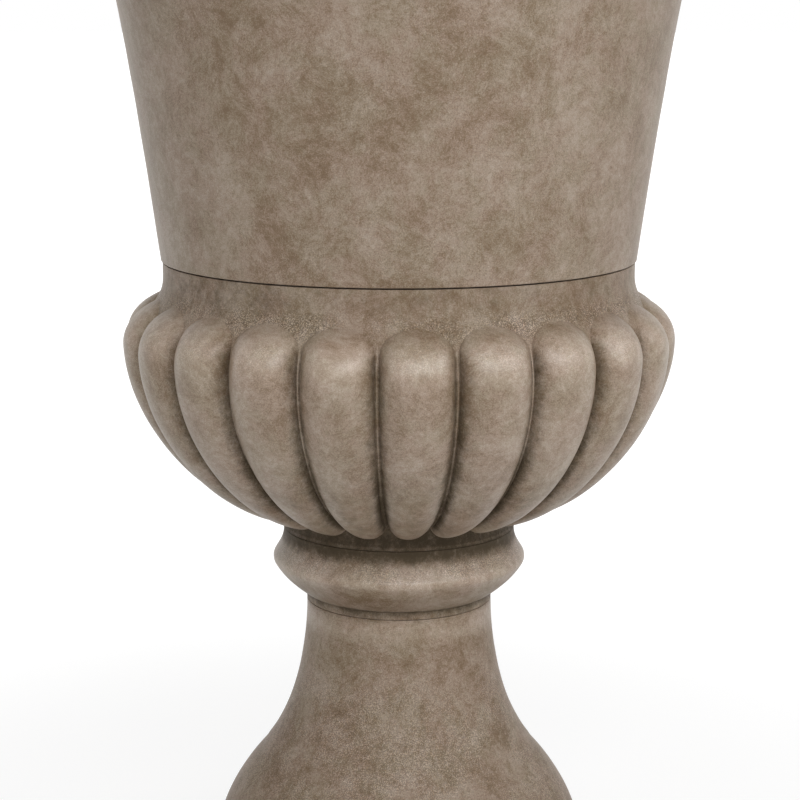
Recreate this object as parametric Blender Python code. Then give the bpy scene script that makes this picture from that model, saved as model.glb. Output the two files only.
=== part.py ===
"""Classical urn planter in four stacked mouldings: bell, gadrooned bowl, collar and pedestal.

All sizes are in metres, +Z is up, the ground is z = 0 and the urn's axis is x = y = 0.
The front of the urn looks along -Y, with one gadroon centred on it.
"""
import math

import bmesh
import bpy
from mathutils import Vector

# Fits between pieces
TOUCH_GAP = 0.0003          # faces that rest on each other
SPIGOT_CLEARANCE = 0.0004   # radial play of a spigot in its socket
SEAT_WIDTH = 0.0095         # width of the ring on which one moulding stands on the next
SPIGOT_HEIGHT = 0.006       # length of the centring rings of pedestal and bowl
RECESS = 0.002              # depth of the webs behind their seat faces
SEAM_ARRIS = 0.0006         # rounding of the edges along the lower seams

# Rubber feet
FOOT_PROUD = 0.003
FOOT_RADIUS = 0.011
FOOT_CHAMFER = 0.0006
FOOT_STUD_RADIUS = 0.003
FOOT_STUD_LENGTH = 0.008
FOOT_COUNT = 4

# Pedestal, heights above its underside
BASE_RADIUS = 0.148
BASE_HEIGHT = 0.0265
BASE_TOP_ARRIS = 0.005
BASE_LOW_ARRIS = 0.0025
BASE_RIM_WIDTH = 0.026      # solid rim of the round base, which carries the feet
PEDESTAL_HEIGHT = 0.2103
PEDESTAL_NECK_RADIUS = 0.0643
PEDESTAL_WALL = 0.006
WEB_THICKNESS = 0.007
OVOLO_RADIUS = 0.1290       # widest point of the bell-shaped lower part
OVOLO_HEIGHT = 0.033
SHOULDER_RADIUS = 0.0966    # where the ovolo starts under the concave flare
SHOULDER_HEIGHT = 0.0995
SHOULDER_FILLET = 0.004     # height of the steeper fillet above the ovolo
SHOULDER_STEP = 0.0025      # how much that fillet widens on its way down
WEB_DRAIN_RADIUS = 0.005
WEB_DRAIN_CIRCLE = 0.030

# Collar, heights above its underside
COLLAR_HEIGHT = 0.0516
COLLAR_TOP_RADIUS = 0.0800
COLLAR_RING_HEIGHT = 0.006
COLLAR_RING_LIP = 0.0015    # how far the underside starts outside the ring
COLLAR_NOSE_RADIUS = 0.0875
COLLAR_NOSE_HEIGHT = 0.0295
COLLAR_NOSE_ROUND = 0.006
COLLAR_WALL = 0.0085

# Bowl, heights above its underside
BOWL_HEIGHT = 0.185
BOWL_NECK_RADIUS = 0.1598
BOWL_NECK_WALL = 0.0079
BOWL_ARRIS = 0.0008
NECK_COVE = 0.008           # height of the cove between the neck and the lobes
BOWL_WALL = 0.008           # between the foot of the lobes and the inside
BOWL_FLOOR = 0.009
BOWL_FOOT_RADIUS = 0.0805
FOOT_WAIST = 0.0022         # depth of the hollow moulding above the foot's edge
LOBE_COUNT = 22
LOBE_TOP_RADIUS = 0.1632
LOBE_TOP_HEIGHT = 0.1615
LOBE_TIP_RADIUS = 0.082
LOBE_TIP_HEIGHT = 0.0167
LOBE_GAP = 0.003            # flat strip between two lobes
LOBE_DEPTH = 0.0076         # a lobe's height over the bowl, near its tip
LOBE_TOP_EXTRA = 0.0121     # more height towards the top edge
LOBE_SQUARENESS = 2.4       # a lobe's section is (1 - x ** squareness) ** roundness
LOBE_ROUNDNESS = 0.72
LOBE_SWELL = 0.034          # length over which a lobe rises from its top edge
LOBE_ARCH = 0.0165          # length of the arched top end
LOBE_TOE = 0.0105           # length of the rounded lower end
DRAIN_RADIUS = 0.0068
DRAIN_CIRCLE = 0.040
DRAIN_COUNT = 3

# Bell, heights above its shoulder
BELL_HEIGHT = 0.2591
BELL_FOOT_RADIUS = 0.1610
BELL_FOOT_ARRIS = 0.002
BELL_WALL = 0.005
FLARE_RADIUS = 0.2105       # outer radius where the flare meets the rolled rim
FLARE_HEIGHT = 0.2401
FLARE_TILT = 7.6            # degrees from upright at the bell's foot
FLARE_TURN = 43.0           # degrees from upright at the rim
RIM_RADIUS = 0.233
RIM_ROLL = 0.0105
BELL_SPIGOT_DEPTH = 0.025
BELL_SPIGOT_WALL = 0.004
BELL_JOINT_RISE = 0.022     # height over which the wall thickens towards the spigot
SEAL_THICKNESS = 0.0008
SEAL_SETBACK = 0.0014       # how far the rubber ring lies behind the neck's face

# Fasteners
SCREW_COUNT = 6
SCREW_RADIUS = 0.0019
SCREW_BITE = 0.005          # length of thread in the bowl's neck
SCREW_HEAD_RADIUS = 0.0037
SCREW_HEAD_HEIGHT = 0.0024
BOLT_RADIUS = 0.004
BOLT_HEAD_RADIUS = 0.0075   # over the corners of the hexagon
BOLT_HEAD_HEIGHT = 0.0053
BOLT_END = 0.005            # thread that stands out under the wing nut
BOLT_SEAL_RADIUS = 0.015
BOLT_SEAL_THICKNESS = 0.003
WASHER_RADIUS = 0.012
WASHER_THICKNESS = 0.0016
NUT_RADIUS = 0.008
NUT_HEIGHT = 0.008
WING_SPAN = 0.034
WING_HEIGHT = 0.014
WING_THICKNESS = 0.003

# Drain plugs
PLUG_FLANGE_RADIUS = 0.0105
PLUG_FLANGE_THICKNESS = 0.0025
PLUG_NECK_RADIUS = 0.0042
PLUG_KNOB_RADIUS = 0.0075
PLUG_HEIGHT = 0.014         # above the bowl's floor
PLUG_OVERHANG = 0.002       # below the floor

# Shapes of the curves: where their handles lie, as shares of a curve's width and height
PEDESTAL_FLARE_HIGH = 0.16
PEDESTAL_FLARE_LOW = (0.92, 0.34)
OVOLO_HIGH = (0.38, 0.20)
OVOLO_LOW = 0.60
SCOTIA_HIGH = 0.45
SCOTIA_LOW = (0.22, 0.35)
COLLAR_UNDER_HIGH = (0.22, 0.38)
COLLAR_UNDER_LOW = (0.40, 0.28)
COVE_HIGH = 0.5
COVE_LOW = (0.4, 0.3)
VALLEY_HIGH = (0.41, 0.34)
VALLEY_LOW = (0.81, 0.08)
DEPTH_FALL = 3.2
SWELL_SOFTNESS = 1.25
FOOT_HOLLOW_HIGH = (1.6, 0.25)  # the width is a share of the waist's depth
FOOT_HOLLOW_LOW = 0.35
BELL_LOW_REACH = 0.93
BELL_HIGH_REACH = 0.078
FULL_DEPTH = 1.35           # where a row shows a lobe at full depth, in arch lengths from its top
ARCH_SQUARENESS = 2.0       # exponent of the arch that ends a lobe at its top
LEAST_CLOSING = 0.3         # a lobe's ends keep this share of its width
PLUG_KNOB_LOW = 0.55        # underside of the knob as a share of the plug's height
PLUG_TAPER = 0.85

# Mesh fineness
SHELL_SEGMENTS = 40
SMALL_SEGMENTS = 16
SCREW_SEGMENTS = 10
LOBE_COLUMNS = (-1.0, -0.88, -0.5, 0.0, 0.5, 0.88, 1.0)     # across a lobe, in half widths
LOBE_ROWS = 9               # rows of points between a lobe's rounded ends

# Heights of the stack, from the ground up
PEDESTAL_LOW = FOOT_PROUD
PEDESTAL_TOP = PEDESTAL_LOW + PEDESTAL_HEIGHT
WEB_TOP = PEDESTAL_TOP - RECESS
WEB_LOW = WEB_TOP - WEB_THICKNESS
COLLAR_LOW = PEDESTAL_TOP + TOUCH_GAP
COLLAR_TOP = COLLAR_LOW + COLLAR_HEIGHT
BOWL_LOW = COLLAR_TOP + TOUCH_GAP
FLOOR_LOW = BOWL_LOW + RECESS
FLOOR_TOP = FLOOR_LOW + BOWL_FLOOR
BOWL_TOP = BOWL_LOW + BOWL_HEIGHT
SEAL_LOW = BOWL_TOP + TOUCH_GAP
BELL_LOW = SEAL_LOW + SEAL_THICKNESS + TOUCH_GAP
BELL_TOP = BELL_LOW + BELL_HEIGHT

# Radii of the joints
PEDESTAL_SPIGOT = PEDESTAL_NECK_RADIUS - SEAT_WIDTH
COLLAR_LOW_BORE = PEDESTAL_SPIGOT + SPIGOT_CLEARANCE
BOWL_SPIGOT = COLLAR_TOP_RADIUS - SEAT_WIDTH
COLLAR_TOP_BORE = BOWL_SPIGOT + SPIGOT_CLEARANCE
NECK_BORE = BOWL_NECK_RADIUS - BOWL_NECK_WALL
BELL_SPIGOT = NECK_BORE - SPIGOT_CLEARANCE
BELL_BORE = BELL_SPIGOT - BELL_SPIGOT_WALL
BOLT_HOLE = BOLT_RADIUS + TOUCH_GAP
BASE_BORE = BASE_RADIUS - BASE_RIM_WIDTH
FOOT_CIRCLE = (BASE_RADIUS - BASE_LOW_ARRIS + BASE_BORE) / 2
SCREW_HEIGHT = BELL_LOW - BELL_SPIGOT_DEPTH / 2
SCREW_PHASE = math.pi / SCREW_COUNT
SCREW_SEAT = BELL_BORE * math.cos(math.pi / SHELL_SEGMENTS) - TOUCH_GAP
SCREW_TIP = NECK_BORE + SCREW_BITE
LOBE_PITCH = 2 * math.pi / LOBE_COUNT

# Name: colour, roughness, metallic
MATERIALS = {
    "faux_stone": ((0.235, 0.195, 0.150), 0.55, 0.0),
    "black_rubber": ((0.020, 0.020, 0.021), 0.75, 0.0),
    "zinc_steel": ((0.560, 0.555, 0.540), 0.35, 1.0),
}


def clear_scene():
    """Remove whatever the open file holds."""
    for thing in list(bpy.data.objects):
        bpy.data.objects.remove(thing, do_unlink=True)


def material(finish, name):
    """A Principled material of the named finish for one piece."""
    colour, roughness, metallic = MATERIALS[finish]
    mat = bpy.data.materials.new(name)
    mat.use_nodes = True
    shader = mat.node_tree.nodes["Principled BSDF"]
    shader.inputs["Base Color"].default_value = (*colour, 1.0)
    shader.inputs["Roughness"].default_value = roughness
    shader.inputs["Metallic"].default_value = metallic
    mat.diffuse_color = (*colour, 1.0)
    return mat


def add_object(name, bm, finish, sharp_degrees=40.0):
    """Turn a bmesh into a named, smooth-shaded object with its own material."""
    bmesh.ops.recalc_face_normals(bm, faces=bm.faces)
    mesh = bpy.data.meshes.new(name)
    bm.to_mesh(mesh)
    bm.free()
    mesh.shade_smooth()
    mesh.set_sharp_from_angle(angle=math.radians(sharp_degrees))
    mesh.materials.append(material(finish, name))
    piece = bpy.data.objects.new(name, mesh)
    bpy.context.collection.objects.link(piece)
    return piece


def hide_tool(tool):
    """Mark an object as a cutter or a helper, which isn't part of the urn."""
    tool.hide_render = True
    tool.display_type = "WIRE"


def combine(piece, tool, operation):
    """Apply a Boolean modifier of the given kind with a helper object."""
    modifier = piece.modifiers.new(tool.name, "BOOLEAN")
    modifier.operation = operation
    modifier.solver = "EXACT"
    modifier.object = tool
    hide_tool(tool)


def bezier(start, start_handle, end_handle, end, steps):
    """Points (radius, height) along a cubic Bezier curve, both ends included."""
    points = []
    for i in range(steps + 1):
        t = i / steps
        u = 1 - t
        weights = (u ** 3, 3 * u * u * t, 3 * u * t * t, t ** 3)
        corners = (start, start_handle, end_handle, end)
        points.append(tuple(sum(w * c[k] for w, c in zip(weights, corners)) for k in (0, 1)))
    return points


def arc(centre, radius, start_deg, end_deg, steps):
    """Points (radius, height) along a circular arc, both ends included."""
    points = []
    for i in range(steps + 1):
        turn = math.radians(start_deg + (end_deg - start_deg) * i / steps)
        points.append((centre[0] + radius * math.cos(turn), centre[1] + radius * math.sin(turn)))
    return points


def normals(outline):
    """Unit normals of an outline that runs downwards, pointing away from the axis."""
    result = []
    last = len(outline) - 1
    for i in range(last + 1):
        a = outline[max(i - 1, 0)]
        b = outline[min(i + 1, last)]
        along = Vector((b[0] - a[0], b[1] - a[1])).normalized()
        result.append((-along.y, along.x))
    return result


def offset(outline, distance):
    """A downward outline moved away from the axis by distance, or inwards if negative."""
    return [(p[0] + n[0] * distance, p[1] + n[1] * distance)
            for p, n in zip(outline, normals(outline))]


def turned(name, profile, finish, segments=SHELL_SEGMENTS, closed=True, phase=0.0):
    """Spin an outline (radius, height) around the Z axis into one solid.

    A closed profile goes all round a section that stays off the axis. An open one starts
    and ends on the axis.
    """
    bm = bmesh.new()
    corners = [bm.verts.new((r * math.cos(phase), r * math.sin(phase), z)) for r, z in profile]
    pairs = list(zip(corners, corners[1:]))
    if closed:
        pairs.append((corners[-1], corners[0]))
    edges = [bm.edges.new(pair) for pair in pairs]
    bmesh.ops.spin(bm, geom=corners + edges, cent=(0, 0, 0), axis=(0, 0, 1),
                   angle=2 * math.pi, steps=segments, use_merge=True)
    bmesh.ops.remove_doubles(bm, verts=bm.verts, dist=1e-6)
    return add_object(name, bm, finish)


def rods(name, ends, radius, segments=SMALL_SEGMENTS):
    """Straight round rods, one for each pair of end points, in one object: a cutter."""
    bm = bmesh.new()
    for low, high in ends:
        axis = Vector(high) - Vector(low)
        turn = axis.to_track_quat("Z", "Y").to_matrix().to_4x4()
        turn.translation = (Vector(low) + Vector(high)) / 2
        bmesh.ops.create_cone(bm, cap_ends=True, segments=segments, radius1=radius,
                              radius2=radius, depth=axis.length, matrix=turn)
    return add_object(name, bm, "zinc_steel")


def around(count, radius, height, phase=0.0):
    """Evenly spaced places on a circle about the axis."""
    places = []
    for i in range(count):
        turn = phase + 2 * math.pi * i / count
        places.append(Vector((radius * math.cos(turn), radius * math.sin(turn), height)))
    return places


def foot_places():
    """Where the rubber feet sit, on the ground."""
    return around(FOOT_COUNT, FOOT_CIRCLE, 0.0, math.pi / FOOT_COUNT)


def plug_places():
    """Where the drain holes pass the bowl's floor; the first one is at the front."""
    return around(DRAIN_COUNT, DRAIN_CIRCLE, FLOOR_TOP, -math.pi / 2)


def pedestal_outline(flare_steps, ovolo_steps):
    """Outer side of the pedestal from the seam down to its round base."""
    shoulder = PEDESTAL_LOW + SHOULDER_HEIGHT
    flare_end = (SHOULDER_RADIUS - SHOULDER_STEP, shoulder + SHOULDER_FILLET)
    drop = PEDESTAL_TOP - flare_end[1]
    spread = flare_end[0] - PEDESTAL_NECK_RADIUS
    flare = bezier((PEDESTAL_NECK_RADIUS, PEDESTAL_TOP - SEAM_ARRIS),
                   (PEDESTAL_NECK_RADIUS, PEDESTAL_TOP - drop * PEDESTAL_FLARE_HIGH),
                   (flare_end[0] - spread * PEDESTAL_FLARE_LOW[0],
                    flare_end[1] + drop * PEDESTAL_FLARE_LOW[1]), flare_end,
                   flare_steps)
    width = OVOLO_RADIUS - SHOULDER_RADIUS
    height = SHOULDER_HEIGHT - OVOLO_HEIGHT
    ovolo = bezier((SHOULDER_RADIUS, shoulder),
                   (SHOULDER_RADIUS + width * OVOLO_HIGH[0], shoulder - height * OVOLO_HIGH[1]),
                   (OVOLO_RADIUS, shoulder - height * OVOLO_LOW),
                   (OVOLO_RADIUS, PEDESTAL_LOW + OVOLO_HEIGHT), ovolo_steps)
    return flare + ovolo


def make_pedestal():
    """Hollow bell-shaped pedestal with a round base, a top web and a centring ring."""
    base_top = PEDESTAL_LOW + BASE_HEIGHT
    outer = pedestal_outline(8, 6)
    seat = arc((PEDESTAL_NECK_RADIUS - SEAM_ARRIS, PEDESTAL_TOP - SEAM_ARRIS), SEAM_ARRIS, 90, 45, 1)
    ledge = [(OVOLO_RADIUS - BASE_TOP_ARRIS / 2, base_top)]
    edge_top = arc((BASE_RADIUS - BASE_TOP_ARRIS, base_top - BASE_TOP_ARRIS),
                   BASE_TOP_ARRIS, 90, 0, 3)
    edge_low = arc((BASE_RADIUS - BASE_LOW_ARRIS, PEDESTAL_LOW + BASE_LOW_ARRIS),
                   BASE_LOW_ARRIS, 0, -90, 2)
    inner = [p for p in offset(pedestal_outline(5, 3), -PEDESTAL_WALL)
             if p[1] < WEB_LOW - PEDESTAL_WALL / 2]
    inside = [(BASE_BORE, PEDESTAL_LOW), (BASE_BORE, PEDESTAL_LOW + OVOLO_HEIGHT - PEDESTAL_WALL)]
    inside += [(min(r, BASE_BORE), z) for r, z in reversed(inner)]
    inside.append((PEDESTAL_NECK_RADIUS - PEDESTAL_WALL, WEB_LOW))
    ring = PEDESTAL_SPIGOT - PEDESTAL_WALL
    web = [(BOLT_HOLE, WEB_LOW), (BOLT_HOLE, WEB_TOP), (ring, WEB_TOP),
           (ring, PEDESTAL_TOP + SPIGOT_HEIGHT), (PEDESTAL_SPIGOT, PEDESTAL_TOP + SPIGOT_HEIGHT),
           (PEDESTAL_SPIGOT, PEDESTAL_TOP)]
    profile = seat + outer + ledge + edge_top + edge_low + inside + web
    pedestal = turned("pedestal", profile, "faux_stone")
    drains = [(p, p + Vector((0, 0, WEB_THICKNESS * 3)))
              for p in around(DRAIN_COUNT, WEB_DRAIN_CIRCLE, WEB_LOW - WEB_THICKNESS, math.pi / 2)]
    combine(pedestal, rods("web_drain_cutter", drains, WEB_DRAIN_RADIUS), "DIFFERENCE")
    depth = FOOT_PROUD + FOOT_STUD_LENGTH + TOUCH_GAP * 2
    studs = [(p, p + Vector((0, 0, depth))) for p in foot_places()]
    combine(pedestal, rods("foot_hole_cutter", studs, FOOT_STUD_RADIUS + TOUCH_GAP), "DIFFERENCE")


def make_feet():
    """Rubber bumpers whose studs push into the base."""
    top = FOOT_PROUD - TOUCH_GAP
    tip = FOOT_PROUD + FOOT_STUD_LENGTH
    profile = [(0, tip), (FOOT_STUD_RADIUS - FOOT_CHAMFER, tip),
               (FOOT_STUD_RADIUS, tip - FOOT_CHAMFER), (FOOT_STUD_RADIUS, top),
               (FOOT_RADIUS - FOOT_CHAMFER / 2, top), (FOOT_RADIUS, top - FOOT_CHAMFER / 2),
               (FOOT_RADIUS - FOOT_CHAMFER, FOOT_CHAMFER / 2),
               (FOOT_RADIUS - FOOT_CHAMFER * 2, 0), (0, 0)]
    for number, place in enumerate(foot_places(), 1):
        foot = turned(f"rubber_foot_{number}", profile, "black_rubber", SMALL_SEGMENTS, closed=False)
        foot.location = place


def collar_outline():
    """Outer side of the collar from the upper seam down to the lower one."""
    nose_high = COLLAR_LOW + COLLAR_NOSE_HEIGHT
    nose = (COLLAR_NOSE_RADIUS - COLLAR_NOSE_ROUND, nose_high)
    round_nose = arc(nose, COLLAR_NOSE_ROUND, 32, -38, 3)
    top = (COLLAR_TOP_RADIUS, COLLAR_TOP - SEAM_ARRIS)
    drop = top[1] - round_nose[0][1]
    scotia = bezier(top, (COLLAR_TOP_RADIUS, top[1] - drop * SCOTIA_HIGH),
                    (round_nose[0][0] - drop * SCOTIA_LOW[0],
                     round_nose[0][1] + drop * SCOTIA_LOW[1]),
                    round_nose[0], 4)
    ring_top = (PEDESTAL_NECK_RADIUS + COLLAR_RING_LIP, COLLAR_LOW + COLLAR_RING_HEIGHT)
    start = round_nose[-1]
    fall = start[1] - ring_top[1]
    width = start[0] - ring_top[0]
    underside = bezier(start, (start[0] - width * COLLAR_UNDER_HIGH[0],
                               start[1] - fall * COLLAR_UNDER_HIGH[1]),
                       (ring_top[0] + width * COLLAR_UNDER_LOW[0],
                        ring_top[1] + fall * COLLAR_UNDER_LOW[1]), ring_top, 3)
    ring = [(PEDESTAL_NECK_RADIUS, ring_top[1] - COLLAR_RING_LIP / 2)]
    return scotia + round_nose[1:] + underside[1:] + ring


def make_collar():
    """Hollow turned collar that stands on the pedestal and carries the bowl."""
    top_edge = arc((COLLAR_TOP_RADIUS - SEAM_ARRIS, COLLAR_TOP - SEAM_ARRIS), SEAM_ARRIS, 90, 45, 1)
    low_edge = arc((PEDESTAL_NECK_RADIUS - SEAM_ARRIS, COLLAR_LOW + SEAM_ARRIS),
                   SEAM_ARRIS, 0, -90, 2)
    chamber = COLLAR_NOSE_RADIUS - COLLAR_WALL
    nose = COLLAR_LOW + COLLAR_NOSE_HEIGHT
    inside = [(COLLAR_LOW_BORE, COLLAR_LOW),
              (COLLAR_LOW_BORE, COLLAR_LOW + COLLAR_RING_HEIGHT + COLLAR_WALL / 4),
              (chamber, nose - COLLAR_WALL / 4), (chamber, nose + COLLAR_WALL / 2),
              (COLLAR_TOP_BORE, nose + COLLAR_WALL * 1.5), (COLLAR_TOP_BORE, COLLAR_TOP)]
    turned("collar", top_edge + collar_outline() + low_edge + inside, "faux_stone")


def valley_curve(steps):
    """The bowl's surface at the foot of the lobes, from their top edge down to their tips."""
    start = (LOBE_TOP_RADIUS, BOWL_LOW + LOBE_TOP_HEIGHT)
    end = (LOBE_TIP_RADIUS, BOWL_LOW + LOBE_TIP_HEIGHT)
    width = start[0] - end[0]
    height = start[1] - end[1]
    return bezier(start, (start[0] + width * VALLEY_HIGH[0], start[1] - height * VALLEY_HIGH[1]),
                  (end[0] + width * VALLEY_LOW[0], end[1] + height * VALLEY_LOW[1]), end, steps)


def lengths_along(outline):
    """Distance from an outline's start to each of its points."""
    total = [0.0]
    for a, b in zip(outline, outline[1:]):
        total.append(total[-1] + math.dist(a, b))
    return total


def lobe_stations():
    """Distances along the valley curve at which the lobes get a row of points."""
    fine = valley_curve(200)
    length = lengths_along(fine)[-1]
    arch = [LOBE_ARCH * (1 - math.cos(math.radians(a))) for a in (0, 30, 60, 90)]
    toe = [length - LOBE_TOE * (1 - math.cos(math.radians(a))) for a in (90, 60, 30, 0)]
    full = LOBE_ARCH * FULL_DEPTH
    between = [full + (toe[0] - full) * i / LOBE_ROWS for i in range(LOBE_ROWS)]
    return arch + between + toe, length


def lobe_rows():
    """For each row: valley radius and height, outward normal, half width and depth of a lobe."""
    fine = valley_curve(200)
    along = lengths_along(fine)
    outward = normals(fine)
    stations, length = lobe_stations()
    rows = []
    for s in stations:
        i = min(range(len(along)), key=lambda k: abs(along[k] - s))
        radius, height = fine[i]
        room = LOBE_PITCH / 2 * radius - LOBE_GAP / 2
        arch = max(0.0, 1 - s / LOBE_ARCH)
        toe = max(0.0, 1 - (length - s) / LOBE_TOE)
        closing = (1 - arch ** ARCH_SQUARENESS) ** (1 / ARCH_SQUARENESS) * math.sqrt(1 - toe ** 2)
        share = s / length
        depth = LOBE_DEPTH + LOBE_TOP_EXTRA * (1 - share) ** DEPTH_FALL
        rise = math.sin(math.pi / 2 * min(1.0, s / LOBE_SWELL)) ** SWELL_SOFTNESS
        half_width = room * max(closing, LEAST_CLOSING)
        rows.append((radius, height, outward[i], half_width, depth * rise * math.sqrt(1 - toe ** 2)))
    return rows


def lobe_ring(bm, row):
    """One ring of vertices around the bowl, through every lobe at this row."""
    radius, height, outward, half_width, depth = row
    ring = []
    for lobe in range(LOBE_COUNT):
        centre = -math.pi / 2 + lobe * LOBE_PITCH
        for column in LOBE_COLUMNS:
            angle = centre + column * half_width / radius
            lift = depth * (1 - abs(column) ** LOBE_SQUARENESS) ** LOBE_ROUNDNESS
            r = radius + outward[0] * lift
            z = height + outward[1] * lift
            ring.append(bm.verts.new((r * math.cos(angle), r * math.sin(angle), z)))
    return ring


def plain_ring(bm, radius, height, segments=SHELL_SEGMENTS):
    """One ring of evenly spaced vertices that starts at the front."""
    ring = []
    for i in range(segments):
        angle = -math.pi / 2 + 2 * math.pi * i / segments
        ring.append(bm.verts.new((radius * math.cos(angle), radius * math.sin(angle), height)))
    return ring


def turn_of(vertex):
    """Angle of a vertex about the axis, counted from the front, from -pi to pi."""
    return math.atan2(vertex.co.x, -vertex.co.y)


def stitch(bm, upper, lower):
    """Close the band between two rings, whose numbers of vertices may differ."""
    rings = []
    for ring in (upper, lower):
        first = min(range(len(ring)), key=lambda k: abs(turn_of(ring[k])))
        rings.append(ring[first:] + ring[:first])
    a, b = rings
    if len(a) == len(b):
        for i in range(len(a)):
            j = (i + 1) % len(a)
            bm.faces.new((a[i], b[i], b[j], a[j]))
        return
    i = j = 0
    while i < len(a) or j < len(b):
        turn_a = turn_of(a[(i + 1) % len(a)]) % (2 * math.pi) or 2 * math.pi
        turn_b = turn_of(b[(j + 1) % len(b)]) % (2 * math.pi) or 2 * math.pi
        if j >= len(b) or (i < len(a) and turn_a <= turn_b):
            bm.faces.new((a[i % len(a)], b[j % len(b)], a[(i + 1) % len(a)]))
            i += 1
        else:
            bm.faces.new((a[i % len(a)], b[j % len(b)], b[(j + 1) % len(b)]))
            j += 1


def bowl_neck_outline():
    """Outer side of the bowl's neck down to the top edge of the lobes."""
    neck = arc((BOWL_NECK_RADIUS - BOWL_ARRIS, BOWL_TOP - BOWL_ARRIS), BOWL_ARRIS, 90, 0, 2)
    lobes = (LOBE_TOP_RADIUS, BOWL_LOW + LOBE_TOP_HEIGHT)
    bend = (BOWL_NECK_RADIUS, lobes[1] + NECK_COVE)
    width = lobes[0] - bend[0]
    return neck + bezier(bend, (bend[0], bend[1] - NECK_COVE * COVE_HIGH),
                         (lobes[0] - width * COVE_LOW[0], lobes[1] + NECK_COVE * COVE_LOW[1]),
                         lobes, 3)[:-1]


def bowl_foot_outline():
    """Outer side of the bowl's foot, below the lobes."""
    tip = (LOBE_TIP_RADIUS, BOWL_LOW + LOBE_TIP_HEIGHT)
    edge = (BOWL_FOOT_RADIUS, BOWL_LOW + SEAM_ARRIS)
    drop = tip[1] - edge[1]
    hollow = bezier(tip, (tip[0] - FOOT_WAIST * FOOT_HOLLOW_HIGH[0],
                          tip[1] - drop * FOOT_HOLLOW_HIGH[1]),
                    (edge[0] - FOOT_WAIST, edge[1] + drop * FOOT_HOLLOW_LOW), edge, 4)[1:]
    return hollow + [(BOWL_FOOT_RADIUS - SEAM_ARRIS, BOWL_LOW)]


def bowl_inside():
    """From the foot's seat through the floor and up the inside to the neck's bore."""
    ring = BOWL_SPIGOT - BOWL_WALL
    under = [(BOWL_SPIGOT, BOWL_LOW), (BOWL_SPIGOT, BOWL_LOW - SPIGOT_HEIGHT),
             (ring, BOWL_LOW - SPIGOT_HEIGHT), (ring, FLOOR_LOW), (BOLT_HOLE, FLOOR_LOW)]
    top = BOWL_LOW + LOBE_TOP_HEIGHT - BOWL_WALL
    wall = [p for p in offset(valley_curve(9), -BOWL_WALL) if p[1] < top]
    sump = [(BOLT_HOLE, FLOOR_TOP), (wall[-1][0] - BOWL_WALL, FLOOR_TOP)]
    neck = [(NECK_BORE, top + BOWL_WALL), (NECK_BORE, BOWL_TOP)]
    return under + sump + wall[:0:-1] + neck


def make_bowl():
    """Gadrooned bowl: neck, lobes, foot, floor and smooth inside, as one shell."""
    bm = bmesh.new()
    rings = [plain_ring(bm, r, z) for r, z in bowl_neck_outline()]
    rings += [lobe_ring(bm, row) for row in lobe_rows()]
    rings += [plain_ring(bm, r, z) for r, z in bowl_foot_outline() + bowl_inside()]
    for upper, lower in zip(rings, rings[1:] + rings[:1]):
        stitch(bm, upper, lower)
    bowl = add_object("gadroon_bowl", bm, "faux_stone", 30.0)
    ends = [(p - Vector((0, 0, BOWL_FLOOR * 2)), p + Vector((0, 0, BOWL_FLOOR)))
            for p in plug_places()]
    combine(bowl, rods("drain_cutter", ends, DRAIN_RADIUS), "DIFFERENCE")
    combine(bowl, screw_cutter("neck_screw_cutter"), "DIFFERENCE")


def flare_outline(steps):
    """Outer side of the bell from the rolled rim down to its foot."""
    foot = (BELL_FOOT_RADIUS, BELL_LOW + BELL_FOOT_ARRIS)
    rim = (FLARE_RADIUS, BELL_LOW + FLARE_HEIGHT)
    tilt = math.radians(FLARE_TILT)
    turn = math.radians(FLARE_TURN)
    rise = rim[1] - foot[1]
    low = rise * BELL_LOW_REACH
    high = rise * BELL_HIGH_REACH
    return bezier(rim, (rim[0] - high * math.sin(turn), rim[1] - high * math.cos(turn)),
                  (foot[0] + low * math.sin(tilt), foot[1] + low * math.cos(tilt)), foot, steps)


def make_bell():
    """Flared bell with a rolled rim, and a spigot that drops into the bowl's neck."""
    outer = flare_outline(9)
    roll = arc((RIM_RADIUS - RIM_ROLL, BELL_TOP - RIM_ROLL), RIM_ROLL, 150, -120, 9)
    foot = arc((BELL_FOOT_RADIUS - BELL_FOOT_ARRIS, BELL_LOW + BELL_FOOT_ARRIS),
               BELL_FOOT_ARRIS, 0, -90, 2)[1:]
    spigot_end = BELL_LOW - BELL_SPIGOT_DEPTH
    spigot = [(BELL_SPIGOT, BELL_LOW), (BELL_SPIGOT, spigot_end), (BELL_BORE, spigot_end),
              (BELL_BORE, BELL_LOW + BELL_WALL)]
    inner = [p for p in offset(flare_outline(6), -BELL_WALL)
             if p[1] > BELL_LOW + BELL_JOINT_RISE]
    bell = turned("upper_bell", roll + outer + foot + spigot + inner[::-1], "faux_stone")
    combine(bell, screw_cutter("bell_screw_cutter"), "DIFFERENCE")


def make_joint_seal():
    """Flat rubber ring in the seam between the bell and the bowl."""
    inner = BELL_SPIGOT + SPIGOT_CLEARANCE
    outer = BOWL_NECK_RADIUS - SEAL_SETBACK
    top = SEAL_LOW + SEAL_THICKNESS
    profile = [(inner, SEAL_LOW), (outer, SEAL_LOW), (outer, top), (inner, top)]
    turned("joint_seal", profile, "black_rubber")


def screw_places(radius):
    """Places of the bell screws at some distance from the axis."""
    return around(SCREW_COUNT, radius, SCREW_HEIGHT, SCREW_PHASE)


def screw_cutter(name):
    """Radial rods that drill the screw holes through the spigot and into the neck."""
    inner = screw_places(BELL_BORE - SCREW_HEAD_HEIGHT)
    outer = screw_places(SCREW_TIP + TOUCH_GAP)
    return rods(name, list(zip(inner, outer)), SCREW_RADIUS + TOUCH_GAP, SCREW_SEGMENTS)


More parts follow.
